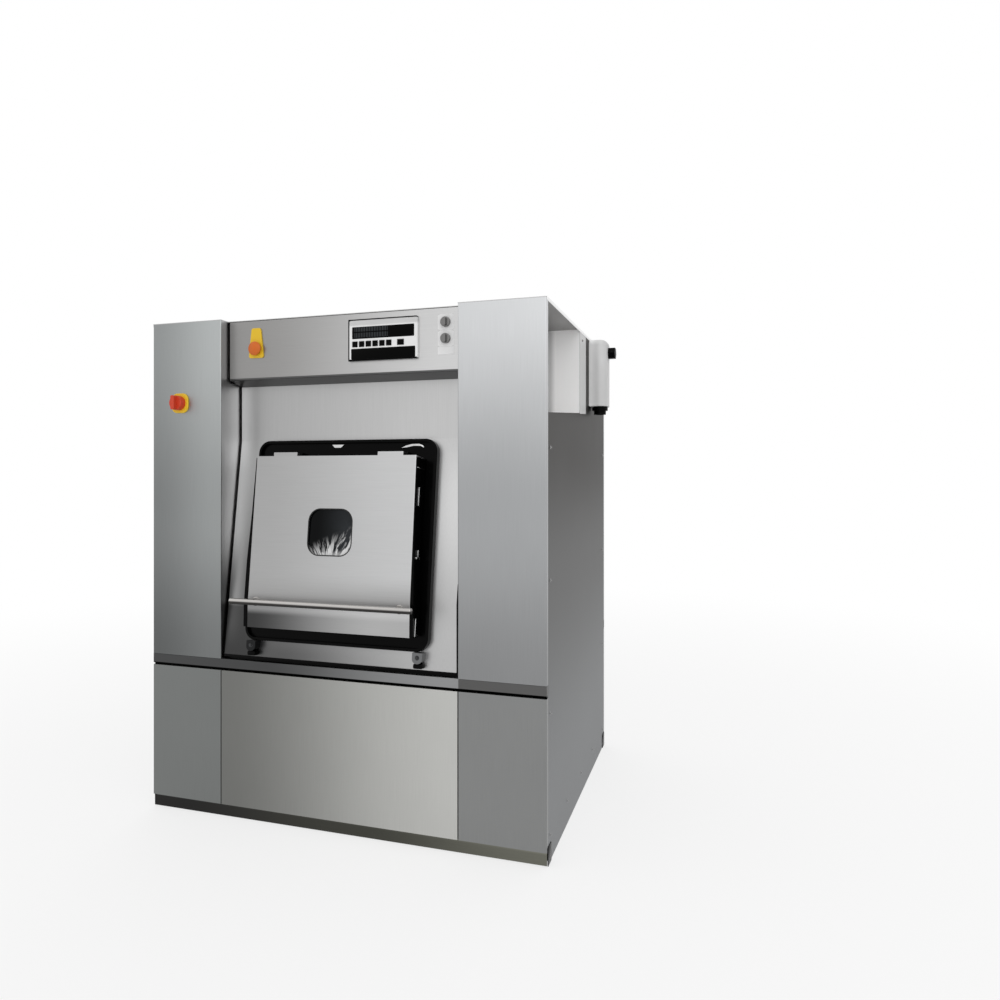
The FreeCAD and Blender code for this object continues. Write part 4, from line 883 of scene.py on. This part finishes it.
# %% End caps of the kick plates
SIDE_FACE, CAP_STAND = 0.7951, 0.0021
cap_outline = rounded(0.052, 0.064, 0.006, (0.563, 0.0335))
for side, turn in SIDES:
    caps = bmesh.new()
    for hand in HANDS:
        plate(cap_outline, SIDE_FACE, SIDE_FACE + CAP_STAND, on_edge(turn(on_front), hand), 0.0007, caps)
    piece(side + "_kick_caps", caps, rubber_and_shadow_black, "cabinet")

# %% Filter mat behind the motor's air slots
mat_fibre = moulded("filter_mat_fibre", grey(24), 0.85, 0.003, 0.0006, 0.1)
MAT_DEPTH = (0.7912, 0.7928)
mat = plate(rounded(0.290, 0.310, 0.010, (-0.250, 0.322)), *MAT_DEPTH, on_edge(on_front, -1))
piece("air_filter_mat", mat, mat_fibre, "cabinet")

# %% Folded edge of the top sheet, painted as a highlight
# The fold's bright steel is a painted highlight along the top sheet's real fold.
fold_highlight_steel = brushed_steel("fold_highlight_steel", grey(236), grain="y", roughness=0.3)
FOLD_STAND = 0.0015
fold_outline = rounded(1.196, 0.012, 0.002, (0.0, 1.8935))
folds = bmesh.new()
for hand in HANDS:
    plate(fold_outline, SIDE_FACE, SIDE_FACE + FOLD_STAND, on_edge(on_front, hand), 0.0006, folds)
piece("top_sheet_folds", folds, fold_highlight_steel, "cabinet")

# %% Rubber buffers under the clamp blocks
CLAMP_X = 0.3365
BUFFER_RISE, BUFFER_DEPTH = -0.4217, (0.5364, 0.5640)
for side, turn in SIDES:
    buffers = bmesh.new()
    for hand in HANDS:
        outline = rounded(0.034, 0.017, 0.005, (hand * CLAMP_X, BUFFER_RISE))
        plate(outline, *BUFFER_DEPTH, turn(on_slope), 0.003, buffers)
    piece(side + "_clamp_buffers", buffers, rubber_and_shadow_black, "cabinet")

# %% Striker and painted glint on each door frame
# The crescent outline is a painted reflection on the frame's rounded top corner, made as a thin plated piece;
# the catch is a real striker.
CATCH = [(-0.058, 0.366), (-0.046, 0.354), (-0.020, 0.354), (-0.008, 0.366)]
GLINT_CRESCENT = [(0.226, 0.350), (0.250, 0.353), (0.276, 0.359), (0.304, 0.358), (0.318, 0.350), (0.312, 0.360),
            (0.296, 0.366), (0.268, 0.365), (0.244, 0.359)]
STRIKER_DEPTH = (0.5542, 0.5572)
for side, turn in SIDES:
    striker_and_glint = bmesh.new()
    for outline, edge in ((CATCH, 0.0008), (GLINT_CRESCENT, 0.0006)):
        plate(outline, *STRIKER_DEPTH, turn(on_slope), edge, striker_and_glint)
    piece(side + "_frame_striker", striker_and_glint, plating_and_glint, "cabinet")

# %% [markdown]
# ## Screws from Geometry Nodes
# Screws repeat, so one node tree makes them all: a flanged hexagon head built from two cones, put on each
# point of a small mesh, turned to face outwards, made real and given its finish. Sizes and the finish are
# the tree's named inputs. The result is turned into a plain mesh, one for each body.


# %% Helpers for node trees
def new_tree(name, inputs):
    """A Geometry Nodes tree with a geometry in, a geometry out and the named inputs."""
    tree = bpy.data.node_groups.new(name, "GeometryNodeTree")
    tree.interface.new_socket("Geometry", in_out="INPUT", socket_type="NodeSocketGeometry")
    for title, kind in inputs.items():
        tree.interface.new_socket(title, in_out="INPUT", socket_type="NodeSocket" + kind)
    tree.interface.new_socket("Geometry", in_out="OUTPUT", socket_type="NodeSocketGeometry")
    return tree


def add(tree, kind, values=None, settings=None):
    """Adds a node; a value is a number, a socket to link from, or a list of such sockets."""
    made = tree.nodes.new(kind)
    for key, value in (settings or {}).items():
        setattr(made, key, value)
    for key, value in (values or {}).items():
        for source in value if isinstance(value, list) else [value]:
            if isinstance(source, bpy.types.NodeSocket):
                tree.links.new(source, made.inputs[key])
            else:
                made.inputs[key].default_value = source
    return made


def number(tree, operation, first, second=0.0):
    """The result of a Math node."""
    return add(tree, "ShaderNodeMath", {0: first, 1: second}, {"operation": operation}).outputs[0]


def close(tree, geometry, finish):
    """Ends a tree: instances made real, the finish set, and out."""
    real = add(tree, "GeometryNodeRealizeInstances", {"Geometry": geometry})
    coated = add(tree, "GeometryNodeSetMaterial", {"Geometry": real.outputs[0], "Material": finish})
    add(tree, "NodeGroupOutput", {0: coated.outputs[0]})
    print(tree.name, "has", len(tree.nodes), "nodes")


# %% A tree for flanged heads
FLANGE_TAPER, HEXAGON_SHARE, HEXAGON_RISE = 0.82, 0.62, 2.4
head_tree = new_tree("flanged_heads", {"Head radius": "Float", "Head height": "Float", "Turn": "Vector",
                                       "Finish": "Material"})
given = head_tree.nodes.new("NodeGroupInput").outputs
radius, height = given["Head radius"], given["Head height"]
flange = add(head_tree, "GeometryNodeMeshCone", {
    "Vertices": 14, "Radius Bottom": radius, "Radius Top": number(head_tree, "MULTIPLY", radius, FLANGE_TAPER),
    "Depth": height})
hexagon_radius = number(head_tree, "MULTIPLY", radius, HEXAGON_SHARE)
hexagon = add(head_tree, "GeometryNodeMeshCone", {
    "Vertices": 6, "Radius Bottom": hexagon_radius, "Radius Top": hexagon_radius,
    "Depth": number(head_tree, "MULTIPLY", height, HEXAGON_RISE)})
head = add(head_tree, "GeometryNodeJoinGeometry", {0: [flange.outputs["Mesh"], hexagon.outputs["Mesh"]]})
heads = add(head_tree, "GeometryNodeInstanceOnPoints", {
    "Points": given["Geometry"], "Instance": head.outputs[0], "Rotation": given["Turn"]})
close(head_tree, heads.outputs[0], given["Finish"])


# %% Growing a tree on points
def grown(name, tree, points, values):
    """Runs a tree on some points and returns the result as a plain mesh."""
    seed = bpy.data.meshes.new(name + "_points")
    seed.from_pydata(points, [], [])
    holder = bpy.data.objects.new(name + "_points", seed)
    scene.collection.objects.link(holder)
    growth = holder.modifiers.new("grow", "NODES")
    growth.node_group = tree
    for socket in tree.interface.items_tree:
        if socket.in_out == "INPUT" and socket.name in values:
            growth[socket.identifier] = values[socket.name]
    mesh = bpy.data.meshes.new_from_object(holder.evaluated_get(bpy.context.evaluated_depsgraph_get()))
    holder.modifiers.clear()
    bpy.data.objects.remove(holder)
    bpy.data.meshes.remove(seed)
    mesh.name = name
    return mesh


def screwed(name, seats, radius, height, turn, finish, slot):
    """A row of heads on the cabinet, all turned the same way."""
    sizes = {"Head radius": radius, "Head height": height, "Turn": turn, "Finish": finish}
    dressed(name, grown(name, head_tree, seats, sizes), finish, "cabinet")


print("trees can grow on points")

# %% Screws on the side sheets
OUT_RIGHT = (0.0, math.pi / 2, 0.0)
OUT_LEFT = (0.0, -math.pi / 2, 0.0)
FOOT_ROW, TOP_ROW = 0.09, 1.86
EDGE_ROWS = (FOOT_ROW, 0.50, 0.95, 1.40)
EDGES, BETWEEN = (-0.545, 0.545), (-0.27, 0.0, 0.27)
SCREW = (0.006, 0.0016)
screw_steel = brushed_steel("screw_steel", grey(150), roughness=0.25)
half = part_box("right_side_panel")[1].x
right_seats = [(half, y, z) for z in EDGE_ROWS for y in EDGES]
right_seats += [(half, y, FOOT_ROW) for y in BETWEEN] + [(half, y, TOP_ROW) for y in (0.03, 0.40, 0.545)]
left_seats = [(-half, y, z) for z in (*EDGE_ROWS, TOP_ROW) for y in EDGES]
left_seats += [(-half, y, z) for y in BETWEEN for z in (FOOT_ROW, TOP_ROW)]
screwed("right_side_screws", right_seats, *SCREW, OUT_RIGHT, screw_steel, "switch_metal")
screwed("left_side_screws", left_seats, *SCREW, OUT_LEFT, screw_steel, "switch_metal")

# %% Bolts in the clamp blocks
CLAMP_FACE, CLAMP_RISE = 0.5698, -0.392
BOLT = (0.0085, 0.002)
dull_steel = brushed_steel("clamp_bolt_steel", grey(72, -0.02), roughness=0.35)
for side, turn in SIDES:
    tilted = (math.pi / 2 - TILT, 0.0, 0.0 if side == "front" else math.pi)
    seats = [turn(on_slope)(hand * CLAMP_X, CLAMP_FACE, CLAMP_RISE) for hand in HANDS]
    screwed(side + "_clamp_bolts", seats, *BOLT, tilted, dull_steel, "clamp_grey")

# %% [markdown]
# ## Perforations in the drum
# Water leaves the drum through hundreds of small holes between the lifters and in the two flaps. Cutting
# them would cost far too many faces, so each hole is a dark six-sided plug through the shell, painted shadow
# of the hole, which shows inside and outside. The tree bends a flat grid round the drum's axis and puts a
# plug on every crossing, turned to point at the axis. Each point keeps that direction as an attribute,
# because it is worked out on the flat grid and used after the bend.

# %% A tree for rows of holes
hole_tree = new_tree("drum_holes", {"Radius": "Float", "Length": "Float", "From": "Float", "Span": "Float",
                                    "Columns": "Int", "Rows": "Int", "Hole radius": "Float",
                                    "Plug length": "Float", "Finish": "Material"})
given = hole_tree.nodes.new("NodeGroupInput").outputs
flat_grid = add(hole_tree, "GeometryNodeMeshGrid", {
    "Size X": given["Length"], "Size Y": given["Span"],
    "Vertices X": given["Columns"], "Vertices Y": given["Rows"]})
crossing = add(hole_tree, "GeometryNodeInputPosition")
spot = add(hole_tree, "ShaderNodeSeparateXYZ", {0: crossing.outputs[0]}).outputs
half_span = number(hole_tree, "MULTIPLY", given["Span"], 0.5)
from_start = number(hole_tree, "ADD", spot["Y"], given["From"])
angle = number(hole_tree, "ADD", from_start, half_span)
cosine = number(hole_tree, "COSINE", angle)
sine = number(hole_tree, "SINE", angle)
outwards = number(hole_tree, "MULTIPLY", cosine, given["Radius"])
upwards = number(hole_tree, "MULTIPLY", sine, given["Radius"])
bent = add(hole_tree, "ShaderNodeCombineXYZ", {
    0: spot["X"], 1: number(hole_tree, "MULTIPLY", outwards, -1.0),
    2: number(hole_tree, "ADD", upwards, AXIS_HEIGHT)})
inward = add(hole_tree, "ShaderNodeCombineXYZ", {
    0: 0.0, 1: cosine, 2: number(hole_tree, "MULTIPLY", sine, -1.0)})
aimed_grid = add(hole_tree, "GeometryNodeStoreNamedAttribute", {
    "Geometry": flat_grid.outputs["Mesh"], "Name": "inward", "Value": inward.outputs[0]},
    {"data_type": "FLOAT_VECTOR", "domain": "POINT"})
rolled = add(hole_tree, "GeometryNodeSetPosition", {
    "Geometry": aimed_grid.outputs[0], "Position": bent.outputs[0]})
facing = add(hole_tree, "GeometryNodeInputNamedAttribute", {"Name": "inward"}, {"data_type": "FLOAT_VECTOR"})
aim = add(hole_tree, "FunctionNodeAlignRotationToVector", {"Vector": facing.outputs[0]}, {"axis": "Z"})
plug = add(hole_tree, "GeometryNodeMeshCylinder", {
    "Vertices": 6, "Radius": given["Hole radius"], "Depth": given["Plug length"]})
holes = add(hole_tree, "GeometryNodeInstanceOnPoints", {
    "Points": rolled.outputs[0], "Instance": plug.outputs["Mesh"], "Rotation": aim.outputs[0]})
close(hole_tree, holes.outputs[0], given["Finish"])

# %% Holes in the bays between the lifters and in the flaps
SHELL_MIDDLE = 0.4535
HOLE_RADIUS, PLUG_LENGTH = 0.004, 0.0036
DRUM_BAYS = ((44.0, 111.0, 25), (129.0, 171.0, 16), (189.0, 231.0, 16), (249.0, 316.0, 25))
UPPER_BAY, LOWER_BAY = ((5.0, 29.0, 10),), ((-29.0, -5.0, 10),)
hole_dark = moulded("hole_shadow", grey(26), 0.6, specular=0.1)


def perforated(name, bays, length, columns):
    """All holes of one body; a bay is (first angle, last angle, rows), seen from the door's middle."""
    shape = bmesh.new()
    for start, end, rows in bays:
        mesh = grown(name + "_bay", hole_tree, [(0.0, 0.0, 0.0)], {
            "Radius": SHELL_MIDDLE, "Length": length, "From": math.radians(start) + TILT,
            "Span": math.radians(end - start), "Columns": columns, "Rows": rows,
            "Hole radius": HOLE_RADIUS, "Plug length": PLUG_LENGTH, "Finish": hole_dark})
        shape.from_mesh(mesh)
        bpy.data.meshes.remove(mesh)
    all_bays = bpy.data.meshes.new(name)
    shape.to_mesh(all_bays)
    shape.free()
    return all_bays


for body, bays, length, columns in (("drum", DRUM_BAYS, 0.80, 33), ("drum_upper_flap", UPPER_BAY, 0.55, 23),
                                    ("drum_lower_flap", LOWER_BAY, 0.55, 23)):
    name = body + "_holes"
    dressed(name, perforated(name, bays, length, columns), hole_dark, body)

# %% [markdown]
# ## Camera, light and floor
# The camera stands to the right of the machine and looks level, so uprights stay upright, and a small
# downward shift puts the horizon where it belongs. A white world lights the sheets softly, with one broad
# lamp from the upper right and a weaker one behind. The background has to look white without more light on
# the machine, so the world is brighter only to the rays that see it: from the camera, in a reflection or
# through glass. The floor does the same and keeps a share of its shadow.

# %% Camera
eye = bpy.data.cameras.new("photo_camera")
eye.lens = 26.71
eye.sensor_width = 36.0
eye.shift_y = -0.025
camera = bpy.data.objects.new("photo_camera", eye)
camera.location = (1.3662, -2.9947, 1.3064)
camera.rotation_euler = (math.pi / 2, 0.0, math.radians(17.02))
scene.collection.objects.link(camera)
scene.camera = camera
print("camera at", [round(v, 2) for v in camera.location])

# %% World
LIT_LEVEL, SEEN_LEVEL = 0.75, 1.0
WHITE = (1.0, 1.0, 1.0, 1.0)
SEEING_RAYS = ("Is Camera Ray", "Is Glossy Ray", "Is Transmission Ray")
scene.view_settings.view_transform = "Standard"
world = bpy.data.worlds.new("studio")
world.use_nodes = True
scene.world = world
studio = world.node_tree
rays = add(studio, "ShaderNodeLightPath").outputs
seen = rays[SEEING_RAYS[0]]
for kind in SEEING_RAYS[1:]:
    seen = number(studio, "MAXIMUM", seen, rays[kind])
level = add(studio, "ShaderNodeMapRange", {0: seen, 3: LIT_LEVEL, 4: SEEN_LEVEL})
backdrop = studio.nodes["Background"]
backdrop.inputs["Color"].default_value = WHITE
studio.links.new(level.outputs[0], backdrop.inputs["Strength"])
print("world has", len(studio.nodes), "nodes")


# %% Lamps
def lamp(name, place, aim, size, power):
    """A square lamp that looks at a place."""
    light = bpy.data.lights.new(name, "AREA")
    light.size = size
    light.energy = power
    held = bpy.data.objects.new(name, light)
    held.location = place
    held.rotation_euler = (Vector(aim) - Vector(place)).to_track_quat("-Z", "Y").to_euler()
    scene.collection.objects.link(held)
    print(name, "of", power, "W")


lamp("key_lamp", (2.0, -4.4, 4.2), (0.2, -0.3, 1.1), 5.5, 45.0)
lamp("rear_lamp", (-2.4, 4.2, 4.0), (0.0, 0.3, 1.0), 4.0, 22.0)

# %% Floor
REACH = 30.0
PLAIN_SHARE = 0.72
SHADOW_FADE = (1.6, 6.0)


def floor_finish():
    """Pale floor: mostly plain white to the rays that see it, with a share near by that keeps the shadow."""
    pale = Finish("pale_floor")
    clouds = pale.noise(1.2, 2.0)
    pale.shade({"Base Color": pale.scaled(grey(250), 0.99 + clouds * 0.02), "Roughness": 0.8})
    eye_ray, glossy_ray, glass_ray = (pale.node("ShaderNodeLightPath", output=kind) for kind in SEEING_RAYS)
    white = pale.node("ShaderNodeEmission", None, {"Color": WHITE, "Strength": 1.0})
    away = pale.node("ShaderNodeVectorMath", {"operation": "LENGTH"}, {0: pale.place}, "Value")
    plain = PLAIN_SHARE + pale.fade(away, *SHADOW_FADE) * (1.0 - PLAIN_SHARE)
    share = (eye_ray + glossy_ray + glass_ray > 0.5) * plain
    lit = Wire(pale, pale.shader.outputs[0])
    mixed = pale.node("ShaderNodeMixShader", None, {0: share, 1: lit, 2: white})
    pale.plug(pale.tree.nodes["Material Output"].inputs["Surface"], mixed)
    return pale.material


floor_mesh = bpy.data.meshes.new("floor")
corners = [(x, y, 0.0) for x, y in band(REACH, -REACH, REACH)]
floor_mesh.from_pydata(corners, [], [(0, 1, 2, 3)])
floor_mesh.materials.append(floor_finish())
floor = bpy.data.objects.new("floor", floor_mesh)
scene.collection.objects.link(floor)
floor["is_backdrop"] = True
print("floor is laid")

# %% Finish
low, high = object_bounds()
